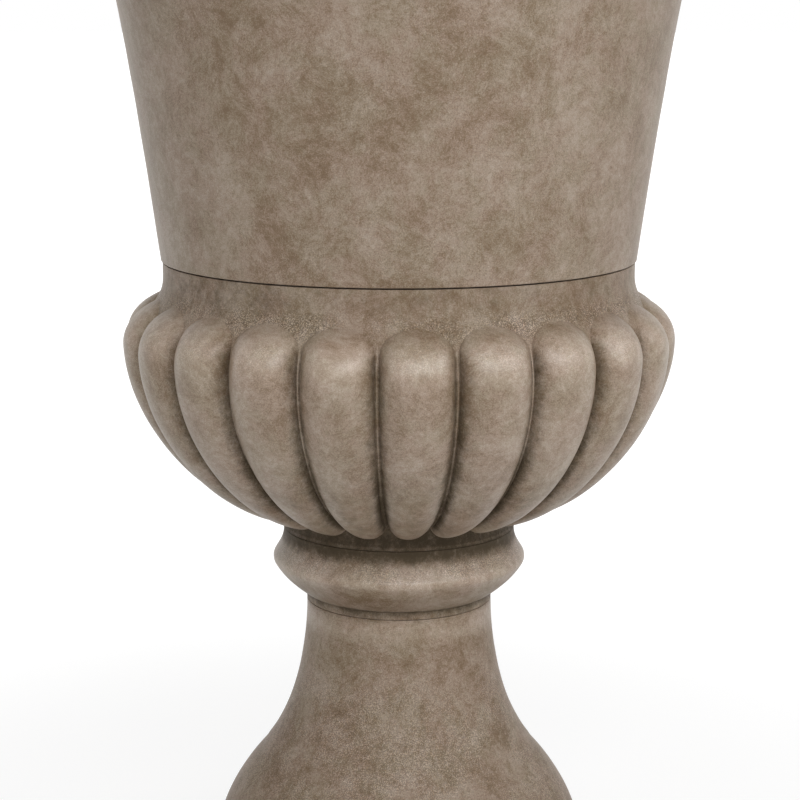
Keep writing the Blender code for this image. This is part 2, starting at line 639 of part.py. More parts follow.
def make_screws():
    """Pan-head screws, driven outwards from the inside of the pot."""
    tip = SCREW_SEAT - SCREW_TIP
    profile = [(0, SCREW_HEAD_HEIGHT), (SCREW_HEAD_RADIUS * 0.7, SCREW_HEAD_HEIGHT),
               (SCREW_HEAD_RADIUS, SCREW_HEAD_HEIGHT * 0.5), (SCREW_HEAD_RADIUS, 0),
               (SCREW_RADIUS, 0), (SCREW_RADIUS, tip + SCREW_RADIUS), (0, tip)]
    for number, place in enumerate(screw_places(SCREW_SEAT), 1):
        name = f"bell_screw_{number}"
        screw = turned(name, profile, "zinc_steel", SCREW_SEGMENTS, closed=False)
        screw.location = place
        screw.rotation_euler = (0, -math.pi / 2, math.atan2(place.y, place.x))


def washer(name, low, thickness, radius, finish):
    """Flat ring around the tie bolt."""
    profile = [(BOLT_HOLE, low), (radius, low), (radius, low + thickness),
               (BOLT_HOLE, low + thickness)]
    turned(name, profile, finish, SMALL_SEGMENTS)


def make_tie_bolt():
    """Hexagon bolt with its seal and washers, from the bowl's floor to the pedestal's web."""
    seal_low = FLOOR_TOP + TOUCH_GAP
    upper_low = seal_low + BOLT_SEAL_THICKNESS + TOUCH_GAP
    head_low = upper_low + WASHER_THICKNESS + TOUCH_GAP
    lower_low = WEB_LOW - TOUCH_GAP - WASHER_THICKNESS
    nut_top = lower_low - TOUCH_GAP
    bolt_end = nut_top - NUT_HEIGHT - BOLT_END
    washer("bolt_seal", seal_low, BOLT_SEAL_THICKNESS, BOLT_SEAL_RADIUS, "black_rubber")
    washer("upper_washer", upper_low, WASHER_THICKNESS, WASHER_RADIUS, "zinc_steel")
    washer("lower_washer", lower_low, WASHER_THICKNESS, WASHER_RADIUS, "zinc_steel")
    chamfer = BOLT_RADIUS * 0.25
    head_top = head_low + BOLT_HEAD_HEIGHT
    head = [(0, head_top), (BOLT_HEAD_RADIUS, head_top), (BOLT_HEAD_RADIUS, head_low), (0, head_low)]
    shank = [(0, head_low + BOLT_HEAD_HEIGHT / 2), (BOLT_RADIUS, head_low + BOLT_HEAD_HEIGHT / 2),
             (BOLT_RADIUS, bolt_end + chamfer), (BOLT_RADIUS - chamfer, bolt_end), (0, bolt_end)]
    bolt = turned("tie_bolt", head, "zinc_steel", 6, closed=False)
    combine(bolt, turned("bolt_shank_tool", shank, "zinc_steel", SMALL_SEGMENTS, closed=False),
            "UNION")
    make_wing_nut(nut_top)


def make_wing_nut(top):
    """Wing nut under the pedestal's web: a bored hub and two wings that point down."""
    low = top - NUT_HEIGHT
    hub = [(BOLT_HOLE, top), (NUT_RADIUS, top), (NUT_RADIUS * 0.8, low), (BOLT_HOLE, low)]
    nut = turned("wing_nut", hub, "zinc_steel", SMALL_SEGMENTS)
    for side in (-1, 1):
        wing = bmesh.new()
        inner = (NUT_RADIUS + BOLT_HOLE) / 2
        tip = WING_SPAN / 2
        outline = [(inner, top - NUT_HEIGHT * 0.25), (tip * 0.75, top - NUT_HEIGHT * 0.45),
                   (tip, low - (WING_HEIGHT - NUT_HEIGHT) * 0.5), (tip * 0.86, top - WING_HEIGHT),
                   (tip * 0.6, top - WING_HEIGHT * 0.85), (inner, low + NUT_HEIGHT * 0.1)]
        face = wing.faces.new([wing.verts.new((side * x, -WING_THICKNESS / 2, z))
                               for x, z in outline])
        grown = bmesh.ops.extrude_face_region(wing, geom=[face])["geom"]
        moved = [part for part in grown if isinstance(part, bmesh.types.BMVert)]
        bmesh.ops.translate(wing, verts=moved, vec=(0, WING_THICKNESS, 0))
        side_name = "left" if side < 0 else "right"
        combine(nut, add_object(f"wing_tool_{side_name}", wing, "zinc_steel"), "UNION")


def make_drain_plugs():
    """Rubber plugs that stop the bowl's drain holes and pull out upwards."""
    low = FLOOR_LOW - FLOOR_TOP - PLUG_OVERHANG
    stem = DRAIN_RADIUS - TOUCH_GAP
    flange = TOUCH_GAP + PLUG_FLANGE_THICKNESS
    knob = PLUG_HEIGHT * PLUG_KNOB_LOW
    profile = [(0, PLUG_HEIGHT), (PLUG_KNOB_RADIUS * 0.75, PLUG_HEIGHT),
               (PLUG_KNOB_RADIUS, PLUG_HEIGHT * PLUG_TAPER), (PLUG_KNOB_RADIUS, knob),
               (PLUG_NECK_RADIUS, knob * PLUG_TAPER), (PLUG_NECK_RADIUS, flange),
               (PLUG_FLANGE_RADIUS, flange), (PLUG_FLANGE_RADIUS, TOUCH_GAP), (stem, TOUCH_GAP),
               (stem, low + PLUG_OVERHANG), (stem * PLUG_TAPER, low), (0, low)]
    for number, place in enumerate(plug_places(), 1):
        name = f"drain_plug_{number}"
        plug = turned(name, profile, "black_rubber", SMALL_SEGMENTS, closed=False)
        plug.location = place


clear_scene()
make_pedestal()
make_feet()
make_collar()
make_bowl()
make_bell()
make_joint_seal()
make_screws()
make_tie_bolt()
make_drain_plugs()
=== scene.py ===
"""Looks of the urn planter: fine shells, painted faux stone, hardware, floor, light and camera.

All sizes are in metres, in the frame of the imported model: +Z up, ground at z = 0, front at -Y.
"""
import math

import bmesh
import bpy
from mathutils import Matrix, Vector, noise


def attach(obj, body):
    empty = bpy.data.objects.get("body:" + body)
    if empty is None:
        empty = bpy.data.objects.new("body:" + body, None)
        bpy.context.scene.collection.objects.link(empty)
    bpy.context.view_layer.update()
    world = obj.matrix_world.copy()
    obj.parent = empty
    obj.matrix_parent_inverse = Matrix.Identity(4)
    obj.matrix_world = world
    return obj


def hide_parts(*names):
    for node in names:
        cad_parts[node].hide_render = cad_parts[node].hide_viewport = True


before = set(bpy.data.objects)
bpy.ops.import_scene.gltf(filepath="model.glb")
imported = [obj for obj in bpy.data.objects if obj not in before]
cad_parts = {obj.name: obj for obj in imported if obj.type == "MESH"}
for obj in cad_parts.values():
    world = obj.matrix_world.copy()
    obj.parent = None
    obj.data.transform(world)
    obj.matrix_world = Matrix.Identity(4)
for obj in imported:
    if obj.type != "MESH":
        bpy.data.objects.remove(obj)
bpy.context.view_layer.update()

BODY = "urn"

# Camera
CAMERA_DISTANCE = 1.40816  # level distance from the urn's axis
CAMERA_HEIGHT = 0.62284
CAMERA_AZIMUTH = -3.75  # degrees, negative towards -X
CAMERA_TILT = 0.19  # radians below the horizon
CAMERA_LENS = 93.6
SENSOR_WIDTH = 36.0
PICTURE_WIDTH = 800
AXIS_COLUMN = 398.9  # pixel column of the urn's axis

# Pedestal
TOUCH_GAP = 0.0003
SEAM_ARRIS = 0.0006
SEAT_WIDTH = 0.0095
SPIGOT_HEIGHT = 0.006
RECESS = 0.002
FOOT_PROUD = 0.003
FOOT_RADIUS = 0.011
FOOT_STUD_RADIUS = 0.003
FOOT_STUD_LENGTH = 0.008
FOOT_COUNT = 4
BASE_RADIUS = 0.148
BASE_HEIGHT = 0.0265
BASE_TOP_ARRIS = 0.005
BASE_LOW_ARRIS = 0.0025
BASE_BORE = 0.122
PEDESTAL_HEIGHT = 0.2103
PEDESTAL_NECK_RADIUS = 0.0643
PEDESTAL_WALL = 0.006
WEB_THICKNESS = 0.007
OVOLO_RADIUS = 0.1290
OVOLO_HEIGHT = 0.033
SHOULDER_RADIUS = 0.0966
SHOULDER_HEIGHT = 0.0995
SHOULDER_FILLET = 0.004
SHOULDER_STEP = 0.0025
WEB_DRAIN_RADIUS = 0.005
WEB_DRAIN_CIRCLE = 0.030

# Collar
COLLAR_HEIGHT = 0.0516
COLLAR_TOP_RADIUS = 0.0800
COLLAR_RING_HEIGHT = 0.006
COLLAR_RING_LIP = 0.0015
COLLAR_NOSE_RADIUS = 0.0875
COLLAR_NOSE_HEIGHT = 0.0295
COLLAR_NOSE_ROUND = 0.006
COLLAR_WALL = 0.0085
SPIGOT_CLEARANCE = 0.0004

# Bowl
BOWL_HEIGHT = 0.185
BOWL_NECK_RADIUS = 0.1598
BOWL_NECK_WALL = 0.0079
BOWL_ARRIS = 0.0004
BOWL_WALL = 0.008
BOWL_FLOOR = 0.009
BOWL_FOOT_RADIUS = 0.0805
FOOT_WAIST = 0.0022
NECK_COVE = 0.014
LOBE_COUNT = 22
LOBE_TOP_RADIUS = 0.1632
LOBE_TOP_HEIGHT = 0.1615
LOBE_TIP_RADIUS = 0.082
LOBE_TIP_HEIGHT = 0.0167
LOBE_GAP = 0.003
LOBE_DEPTH = 0.0076
LOBE_TOP_EXTRA = 0.0121
LOBE_SQUARENESS = 2.4
LOBE_ROUNDNESS = 0.72
LOBE_SWELL = 0.034
LOBE_ARCH = 0.0165
LOBE_TOE = 0.0105
RIDGE_RISE = 0.0005  # fine fillet that runs down between two lobes
GROOVE_DEPTH = 0.0004  # crease at the foot of each lobe
DRAIN_RADIUS = 0.0068
DRAIN_CIRCLE = 0.040
DRAIN_COUNT = 3

# Bell
BELL_HEIGHT = 0.2591
BELL_FOOT_RADIUS = 0.1610
BELL_FOOT_ARRIS = 0.0009
LIP_DROP = 0.0005  # the bell's edge hangs this far in front of the rubber ring
LIP_WIDTH = 0.0016
BELL_WALL = 0.005
FLARE_RADIUS = 0.2105
FLARE_HEIGHT = 0.2401
FLARE_TILT = 7.6
FLARE_TURN = 43.0
RIM_RADIUS = 0.233
RIM_ROLL = 0.0105
BELL_SPIGOT_DEPTH = 0.025
BELL_SPIGOT_WALL = 0.004
BELL_JOINT_RISE = 0.022
SEAL_THICKNESS = 0.0008
SEAL_SETBACK = 0.0014

# Fasteners and plugs
SCREW_COUNT = 6
SCREW_RADIUS = 0.0019
SCREW_PITCH = 0.0009
SCREW_BITE = 0.005
SCREW_HEAD_RADIUS = 0.0037
SCREW_HEAD_HEIGHT = 0.0024
BOLT_RADIUS = 0.004
BOLT_HEAD_RADIUS = 0.0075
BOLT_HEAD_HEIGHT = 0.0053
BOLT_PITCH = 0.00125
BOLT_THREAD_LENGTH = 0.030
BOLT_END = 0.005
BOLT_SEAL_RADIUS = 0.015
BOLT_SEAL_THICKNESS = 0.003
WASHER_RADIUS = 0.012
WASHER_THICKNESS = 0.0016
NUT_RADIUS = 0.008
NUT_HEIGHT = 0.008
WING_SPAN = 0.034
WING_HEIGHT = 0.014
WING_THICKNESS = 0.003
PLUG_FLANGE_RADIUS = 0.0105
PLUG_FLANGE_THICKNESS = 0.0025
PLUG_NECK_RADIUS = 0.0042
PLUG_KNOB_RADIUS = 0.0075
PLUG_HEIGHT = 0.014
PLUG_OVERHANG = 0.002
PIN_RADIUS = 0.0005  # the first ring around the axis of a solid turned piece
TIP_RADIUS = 0.0003  # the same, of a screw's head
SMALL_EASE = 0.0003  # eased edges of washers, nut and plugs

# Shapes of the curves: where their handles lie, as shares of a curve's width and height
PEDESTAL_FLARE_HIGH = 0.16
PEDESTAL_FLARE_LOW = (0.92, 0.34)
OVOLO_HIGH = (0.38, 0.20)
OVOLO_LOW = 0.60
SCOTIA_HIGH = 0.45
SCOTIA_LOW = (0.22, 0.35)
COLLAR_UNDER_HIGH = (0.22, 0.38)
COLLAR_UNDER_LOW = (0.40, 0.28)
COVE_HIGH = 0.5
COVE_LOW = (0.4, 0.2)
VALLEY_HIGH = (0.41, 0.34)
VALLEY_LOW = (0.81, 0.08)
DEPTH_FALL = 3.2
SWELL_SOFTNESS = 1.25
ARCH_SQUARENESS = 2.0  # exponent of the arch that ends a lobe at its top
LEAST_CLOSING = 0.2  # a lobe's ends keep this share of its width
FOOT_HOLLOW_HIGH = (1.6, 0.25)  # the width is a share of the waist's depth
FOOT_HOLLOW_LOW = 0.35
BELL_LOW_REACH = 0.93
BELL_HIGH_REACH = 0.078
PLUG_KNOB_LOW = 0.55  # underside of the knob as a share of the plug's height
PLUG_TAPER = 0.85

# How far a hand-finished surface strays from the true form
PEDESTAL_STRAY = 0.00025
COLLAR_STRAY = 0.0003
NECK_STRAY = 0.0003
LOBE_STRAY = 0.00035
BELL_STRAY = 0.0004
SLOW_SHARE = 0.65  # share of the slow unevenness, the rest is the finer one
SLOW_SCALE = 23
FINE_SCALE = 61

# Marks stored on the mouldings for their paint, each from 0 to 1; the first also carries painted
# shade, the second painted highlight
MARKS = ("wash_and_shade", "wear_and_highlight", "pebble", "bare")
BARE_INSIDE = (0.0, 0.0, 0.0, 1.0, 0.0)  # the marks, then the stray, of a hidden point
NECK_DARKENING = 0.17  # the neck is darkened by so much, and by as much again at one side
NECK_DARKEST_AT = -2.44  # radians, the side of the neck that is darkest
NECK_DARKEST_WIDTH = 0.60  # radians
LOBE_STAIN = 0.07  # brown wash in thin patches all over the lobes
VALLEY_WASH_AND_SHADE = 0.44  # brown wash and painted shade between the lobes, near their top
VALLEY_SHADE_MORE = 0.34  # painted shade added towards their tips
CREVICE = (0.16, 0.74)  # where the valley's wash and painted shade start and are full, from a lobe's crown to its edge
# Painted shade on the lobes' tips, on their lower part and on the foot beneath them
TIP_SHADE = 0.55
UNDERSIDE_SHADE = 0.22
FOOT_SHADE = 0.80
# Rubbed paint and painted highlight on the lobes' crowns, shoulders and fine ridges
CROWN_WEAR_AND_HIGHLIGHT = 0.35
SHOULDER_WEAR_AND_HIGHLIGHT = 0.65
RIDGE_WEAR_AND_HIGHLIGHT = 0.6
RIDGE_CLEAR = 0.9  # share of the wash and painted shade taken off the fine ridges near their top, where they are rubbed and painted as lit
LOBE_PEBBLE = 0.5
LEAST_PEBBLE = 0.15

# Heights of the stack and radii of its joints
PEDESTAL_LOW = FOOT_PROUD
PEDESTAL_TOP = PEDESTAL_LOW + PEDESTAL_HEIGHT
WEB_TOP = PEDESTAL_TOP - RECESS
WEB_LOW = WEB_TOP - WEB_THICKNESS
COLLAR_LOW = PEDESTAL_TOP + TOUCH_GAP
COLLAR_TOP = COLLAR_LOW + COLLAR_HEIGHT
BOWL_LOW = COLLAR_TOP + TOUCH_GAP
FLOOR_LOW = BOWL_LOW + RECESS
FLOOR_TOP = FLOOR_LOW + BOWL_FLOOR
BOWL_TOP = BOWL_LOW + BOWL_HEIGHT
LOBE_TOP = BOWL_LOW + LOBE_TOP_HEIGHT
SEAL_LOW = BOWL_TOP + TOUCH_GAP
BELL_LOW = SEAL_LOW + SEAL_THICKNESS + TOUCH_GAP
BELL_TOP = BELL_LOW + BELL_HEIGHT
PEDESTAL_SPIGOT = PEDESTAL_NECK_RADIUS - SEAT_WIDTH
BOWL_SPIGOT = COLLAR_TOP_RADIUS - SEAT_WIDTH
NECK_BORE = BOWL_NECK_RADIUS - BOWL_NECK_WALL
BELL_SPIGOT = NECK_BORE - SPIGOT_CLEARANCE
BELL_BORE = BELL_SPIGOT - BELL_SPIGOT_WALL
BOLT_HOLE = BOLT_RADIUS + TOUCH_GAP
FOOT_CIRCLE = (BASE_RADIUS - BASE_LOW_ARRIS + BASE_BORE) / 2
SCREW_HEIGHT = BELL_LOW - BELL_SPIGOT_DEPTH / 2
SCREW_SEAT = BELL_BORE - TOUCH_GAP * 2
SCREW_TIP = NECK_BORE + SCREW_BITE
LOBE_PITCH = 2 * math.pi / LOBE_COUNT

# Mesh fineness
SHARP_DEGREES = 35
SHELL_COLUMNS = 240
SMALL_COLUMNS = 48
LOBE_STEPS = 20  # faces across a lobe
GAP_STEPS = 4  # faces across the strip between two lobes
LOBE_ROWS = 64  # rows of faces between a lobe's rounded ends
BOWL_COLUMNS = LOBE_COUNT * (LOBE_STEPS + GAP_STEPS)

# Colours, linear
STONE_PALE = (0.382, 0.312, 0.249)
STONE_ROSE = (0.291, 0.215, 0.160)
STONE_OLIVE = (0.275, 0.217, 0.154)
STONE_DARK = (0.186, 0.126, 0.077)
# dark brown of the wash, also laid on as painted shade
STONE_WASH_AND_SHADE = (0.074, 0.055, 0.034)
RESIN = (0.150, 0.124, 0.098)
RUBBER = (0.021, 0.021, 0.022)
RUBBER_DUST = (0.06, 0.057, 0.052)
ZINC = (0.560, 0.555, 0.540)
ZINC_DULL = (0.42, 0.41, 0.385)
WHITE = (1.0, 1.0, 1.0, 1.0)

# Noises: scale, detail, roughness, distortion
CLOUDS = (10, 3, 0.5)
SPONGE = (32, 6, 0.95, 0.25)
GRAIN = (1500, 1, 0.5)
HUES = (26, 5, 0.8)
SPECKS = (1450, 2, 0.6)
PATCHES = (22, 3, 0.6)
STAINS = (60, 7, 0.9)
SAND = (700, 2, 0.55)
DUST = (140, 5, 0.65)
RUBBER_SKIN = (1500, 2)
PLATING = (260, 5, 0.6)
SCRATCHES = (2400, 3)
SEED_STEP = (0.371, 0.713, 0.547)  # how far one seed shifts a noise

# How a layer enters the tone, brightness, gloss or roughness: gain and base
CLOUD_TONE = (0.8, 0.11)
SPONGE_TONE = (3.3, -1.65)
GRAIN_TONE = (1.1, -0.55)
SPARKLE = (1.2, -0.45)
WEAR_AND_HIGHLIGHT_LIFT = (0.40, 1.0)
WORN_GLOSS = (1.20, 0.08)
SPONGE_ROUGHNESS = (0.30, 0.27)
DUST_ROUGHNESS = (0.2, 0.62)
PLATING_ROUGHNESS = (0.25, 0.24)
STAIN_GAIN = 2.2
WASH_AND_SHADE_ROUGHNESS = 0.15
SPONGE_RELIEF = 0.7
SAND_RELIEF = 0.22

# Where a noise starts to show and where it shows in full
HUE_RANGE = (0.40, 0.60)
SPECK_RANGE = (0.42, 0.68)
PATCH_RANGE = (0.28, 0.55)
WASH_AND_SHADE_RANGE = (0.0, 0.25)
DUST_RANGE = (0.45, 0.75)
PLATING_RANGE = (0.35, 0.7)

# Bumps: strength and depth
STONE_BUMP = (0.6, 0.0004)
RUBBER_BUMP = (0.3, 0.0001)
ZINC_BUMP = (0.15, 0.00008)

# Studio
WORLD_LIGHT = 0.278
FLOOR_BOUNCE = 0.85  # how much light the floor sends back to the urn
FLOOR_SHADE = 0.80  # its paint as the camera sees it
FLOOR_GLOW = 0.60  # share of its own white near the urn
FLOOR_WHITE = 1.25
FLOOR_NEAR = 0.3  # its own white grows from here to FLOOR_FAR
FLOOR_FAR = 1.3
FLOOR_RADIUS = 40.0
FLOOR_DROP = 0.0002

# Softboxes: name, place, height on the axis that they aim at, width, height, power in watts
LAMPS = (
    ("key", (0.30, -2.0, 1.56), 0.42, 2.6, 0.7, 30.0),
    ("side", (1.9, -0.9, 1.4), 0.40, 1.2, 0.8, 9.0),
    ("fill", (-1.8, -0.9, 1.5), 0.38, 1.2, 0.8, 3.2),
    ("top", (0.1, -0.1, 2.3), 0.4, 1.5, 1.5, 1.4),
    ("back", (0.2, 2.1, 1.9), 0.45, 1.4, 1.4, 13.0),
)


def make_camera():
    """The photograph's camera."""
    data = bpy.data.cameras.new("camera")
    data.sensor_width = SENSOR_WIDTH
    data.lens = CAMERA_LENS
    data.shift_x = (PICTURE_WIDTH / 2 - AXIS_COLUMN) / PICTURE_WIDTH
    camera = bpy.data.objects.new("camera", data)
    link(camera)
    turn = math.radians(CAMERA_AZIMUTH)
    camera.location = (CAMERA_DISTANCE * math.sin(turn), -CAMERA_DISTANCE * math.cos(turn),
                       CAMERA_HEIGHT)
    camera.rotation_euler = (math.pi / 2 - CAMERA_TILT, 0, turn)
    bpy.context.scene.camera = camera


# Outlines


def bezier(start, start_handle, end_handle, end, steps):
    """Points (radius, height) along a cubic Bezier curve, both ends included."""
    points = []
    for i in range(steps + 1):
        t = i / steps
        u = 1 - t
        weights = (u ** 3, 3 * u * u * t, 3 * u * t * t, t ** 3)
        corners = (start, start_handle, end_handle, end)
        points.append(tuple(sum(w * c[k] for w, c in zip(weights, corners)) for k in (0, 1)))
    return points


def arc(centre, radius, start_deg, end_deg, steps):
    """Points (radius, height) along a circular arc, both ends included."""
    points = []
    for i in range(steps + 1):
        turn = math.radians(start_deg + (end_deg - start_deg) * i / steps)
        points.append((centre[0] + radius * math.cos(turn), centre[1] + radius * math.sin(turn)))
    return points


def corner(radius, height, ease, start_deg, end_deg, steps):
    """An arc that eases an outer corner: a top one if it starts above level, else a low one."""
    middle = height - ease if start_deg > 0 else height + ease
    return arc((radius - ease, middle), ease, start_deg, end_deg, steps)


def line(start, end, steps):
    """Points along a straight line, both ends included."""
    return [tuple(a + (b - a) * i / steps for a, b in zip(start, end)) for i in range(steps + 1)]


def normals(outline):
    """Unit normals of an outline that runs downwards, pointing away from the axis."""
    result = []
    last = len(outline) - 1
    for i in range(last + 1):
        a = outline[max(i - 1, 0)]
        b = outline[min(i + 1, last)]
        along = Vector((b[0] - a[0], b[1] - a[1])).normalized()
        result.append((-along.y, along.x))
    return result


def offset(outline, distance):
    """A downward outline moved away from the axis by distance, or inwards if negative."""
    return [(p[0] + n[0] * distance, p[1] + n[1] * distance)
            for p, n in zip(outline, normals(outline))]


def smooth_step(low, high, value):
    """0 below low, 1 above high, and a smooth rise between."""
    t = min(1.0, max(0.0, (value - low) / (high - low)))
    return t * t * (3 - 2 * t)


def bump_at(centre, width, value):
    """1 at the centre, falling smoothly to 0 at width on either side."""
    return 1 - smooth_step(0, width, abs(value - centre))


# Meshes


def ring_mesh(name, rings, marks=None, closed=True):
    """Skin a row of rings with equal counts. An open skin gets a fan at both ends.

    marks gives for each ring, and in it for each point, its values in the order of MARKS.
    """
    count = len(rings[0])
    verts = [v for points in rings for v in points]
    faces = []
    for a in range(len(rings) if closed else len(rings) - 1):
        b = (a + 1) % len(rings)
        for i in range(count):
            j = (i + 1) % count
            faces.append((a * count + i, b * count + i, b * count + j, a * count + j))
    if not closed:
        faces.append(tuple(range(count)))
        faces.append(tuple(range(len(verts) - 1, len(verts) - count - 1, -1)))
    mesh = bpy.data.meshes.new(name)
    mesh.from_pydata(verts, [], faces)
    for k, mark in enumerate(MARKS if marks else ()):
        layer = mesh.attributes.new(mark, "FLOAT", "POINT")
        layer.data.foreach_set("value", [values[k] for row in marks for values in row])
    bm = bmesh.new()
    bm.from_mesh(mesh)
    bmesh.ops.recalc_face_normals(bm, faces=bm.faces)
    bm.to_mesh(mesh)
    bm.free()
    mesh.shade_smooth()
    mesh.set_sharp_from_angle(angle=math.radians(SHARP_DEGREES))
    piece = bpy.data.objects.new(name, mesh)
    link(piece)
    return piece


def polar(radius, turn, height, centre=(0.0, 0.0)):
    """The point at this distance and angle from an upright axis."""
    return Vector((centre[0] + radius * math.cos(turn), centre[1] + radius * math.sin(turn),
                   height))


def ring(radius, height, count, phase=0.0, centre=(0.0, 0.0)):
    """A level circle of points."""
    return [polar(radius, phase + 2 * math.pi * i / count, height, centre) for i in range(count)]


def uneven_ring(radius, height, count, stray, phase=0.0, centre=(0.0, 0.0)):
    """A level circle of points that may stray by so much from the true circle."""
    points = ring(radius, height, count, phase, centre)
    if stray:
        for p in points:
            p.x, p.y = (p.xy * (1 + stray * cast_noise(p) / radius))[:]
    return points


def turned(name, profile, columns=SHELL_COLUMNS, look=None, closed=True, centre=(0.0, 0.0)):
    """Turn an outline (radius, height) into a piece.

    look gives for each point its marks and how far it may stray from the true circle.
    """
    strays = [values[-1] for values in look] if look else [0.0] * len(profile)
    rings = [uneven_ring(radius, height, columns, stray, centre=centre)
             for (radius, height), stray in zip(profile, strays)]
    marks = [[values] * columns for values in look] if look else None
    return ring_mesh(name, rings, marks, closed)


def cast_noise(point):
    """Unevenness of a hand-finished casting, from -1 to 1."""
    slow = noise.noise(point * SLOW_SCALE)
    fine = noise.noise(point * FINE_SCALE + Vector((5, 3, 1)))
    return SLOW_SHARE * slow + (1 - SLOW_SHARE) * fine


def link(thing):
    """Put an object into the scene."""
    bpy.context.collection.objects.link(thing)


def mesh_object(name, bm):
    """An object made of a bmesh, which is freed."""
    mesh = bpy.data.meshes.new(name)
    bm.to_mesh(mesh)
    bm.free()
    return bpy.data.objects.new(name, mesh)


def drill(piece, holes):
    """Cut round holes, each (start, end, radius), out of a piece."""
    bm = bmesh.new()
    for start, end, radius in holes:
        axis = Vector(end) - Vector(start)
        place = axis.to_track_quat("Z", "Y").to_matrix().to_4x4()
        place.translation = (Vector(start) + Vector(end)) / 2
        bmesh.ops.create_cone(bm, cap_ends=True, segments=32, radius1=radius, radius2=radius,
                              depth=axis.length, matrix=place)
    combine(piece, mesh_object("drill", bm), "DIFFERENCE")


def combine(piece, tool, operation):
    """Apply a Boolean with a helper object, which is then removed."""
    if not tool.users_collection:
        link(tool)
    modifier = piece.modifiers.new("combine", "BOOLEAN")
    modifier.operation = operation
    modifier.solver = "EXACT"
    modifier.object = tool
    done = piece.evaluated_get(bpy.context.evaluated_depsgraph_get())
    mesh = bpy.data.meshes.new_from_object(done)
    piece.modifiers.remove(modifier)
    piece.data = mesh
    mesh.set_sharp_from_angle(angle=math.radians(SHARP_DEGREES))
    bpy.data.objects.remove(tool, do_unlink=True)


def dress(piece, mat, slot, *nodes, body=BODY):
    """Give a piece its material, hide the CAD nodes that it stands for and attach it to the body it
    rides on.
    """
    piece.data.materials.clear()
    piece.data.materials.append(mat)
    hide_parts(*nodes)
    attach(piece, body)


# Materials


class Nodes:
    """Short names for building the node tree of a new material or world."""

    def __init__(self, owner):
        self.owner = owner
        owner.use_nodes = True
        self.tree = owner.node_tree

    def add(self, kind, **inputs):
        """A node with these settings and inputs, whose names have _ for a space."""
        node = self.tree.nodes.new(kind)
        for key, value in inputs.items():
            socket = key.replace("_", " ")
            if socket in node.inputs:
                self.feed(node.inputs[socket], value)
            else:
                setattr(node, key, value)
        return node

    def feed(self, socket, value):
        """Link a socket, or set its value."""
        if isinstance(value, bpy.types.NodeSocket):
            self.tree.links.new(value, socket)
        elif isinstance(value, bpy.types.Node):
            self.tree.links.new(value.outputs[0], socket)
        else:
            socket.default_value = value

    def math(self, operation, a, b=0.0, c=0.0, clamp=False):
        """A Math node's output."""
        node = self.add("ShaderNodeMath", operation=operation, use_clamp=clamp)
        for socket, value in zip(node.inputs, (a, b, c)):
            self.feed(socket, value)
        return node.outputs[0]

    def scaled(self, value, gain, base=0.0, clamp=False):
        """A value times its gain, plus a base."""
        return self.math("MULTIPLY_ADD", value, gain, base, clamp)

    def mix(self, share, a, b):
        """Colour a turning into colour b."""
        node = self.add("ShaderNodeMix", data_type="RGBA")
        for name, value in (("Factor_Float", share), ("A_Color", a), ("B_Color", b)):
            socket = next(s for s in node.inputs if s.identifier == name)
            if isinstance(value, tuple):
                value = (*value, 1.0)
            self.feed(socket, value)
        return next(s for s in node.outputs if s.identifier == "Result_Color")

    def noise(self, coords, scale, detail=4.0, roughness=0.55, distortion=0.0):
        """A noise texture's value."""
        return self.add("ShaderNodeTexNoise", Scale=scale, Detail=detail, Roughness=roughness,
                        Distortion=distortion, Vector=coords).outputs[0]

    def mark(self, name):
        """A number stored on the mesh."""
        return self.add("ShaderNodeAttribute", attribute_name=name).outputs["Fac"]

    def spread(self, value, low, high, start=0.0):
        """Stretch low..high to start..1, clamped."""
        return self.add("ShaderNodeMapRange", interpolation_type="SMOOTHSTEP", Value=value,
                        From_Min=low, From_Max=high, To_Min=start).outputs[0]

    def coords(self, seed):
        """Object coordinates, shifted so that no two pieces share a pattern."""
        place = self.add("ShaderNodeTexCoord").outputs["Object"]
        shift = [seed * step for step in SEED_STEP]
        return self.add("ShaderNodeMapping", Vector=place, Location=shift).outputs[0]

    def blend(self, share, first, second):
        """The first shader turning into the second."""
        node = self.add("ShaderNodeMixShader")
        for socket, value in zip(node.inputs, (share, first, second)):
            self.feed(socket, value)
        return node

    def surface(self, bump, height, **inputs):
        """The material, its main shader fed with inputs and a bump of that strength and depth."""
        shader = self.tree.nodes["Principled BSDF"]
        relief = self.add("ShaderNodeBump", Strength=bump[0], Distance=bump[1], Height=height)
        for key, value in dict(inputs, Normal=relief).items():
            self.feed(shader.inputs[key.replace("_", " ")], value)
        return self.owner


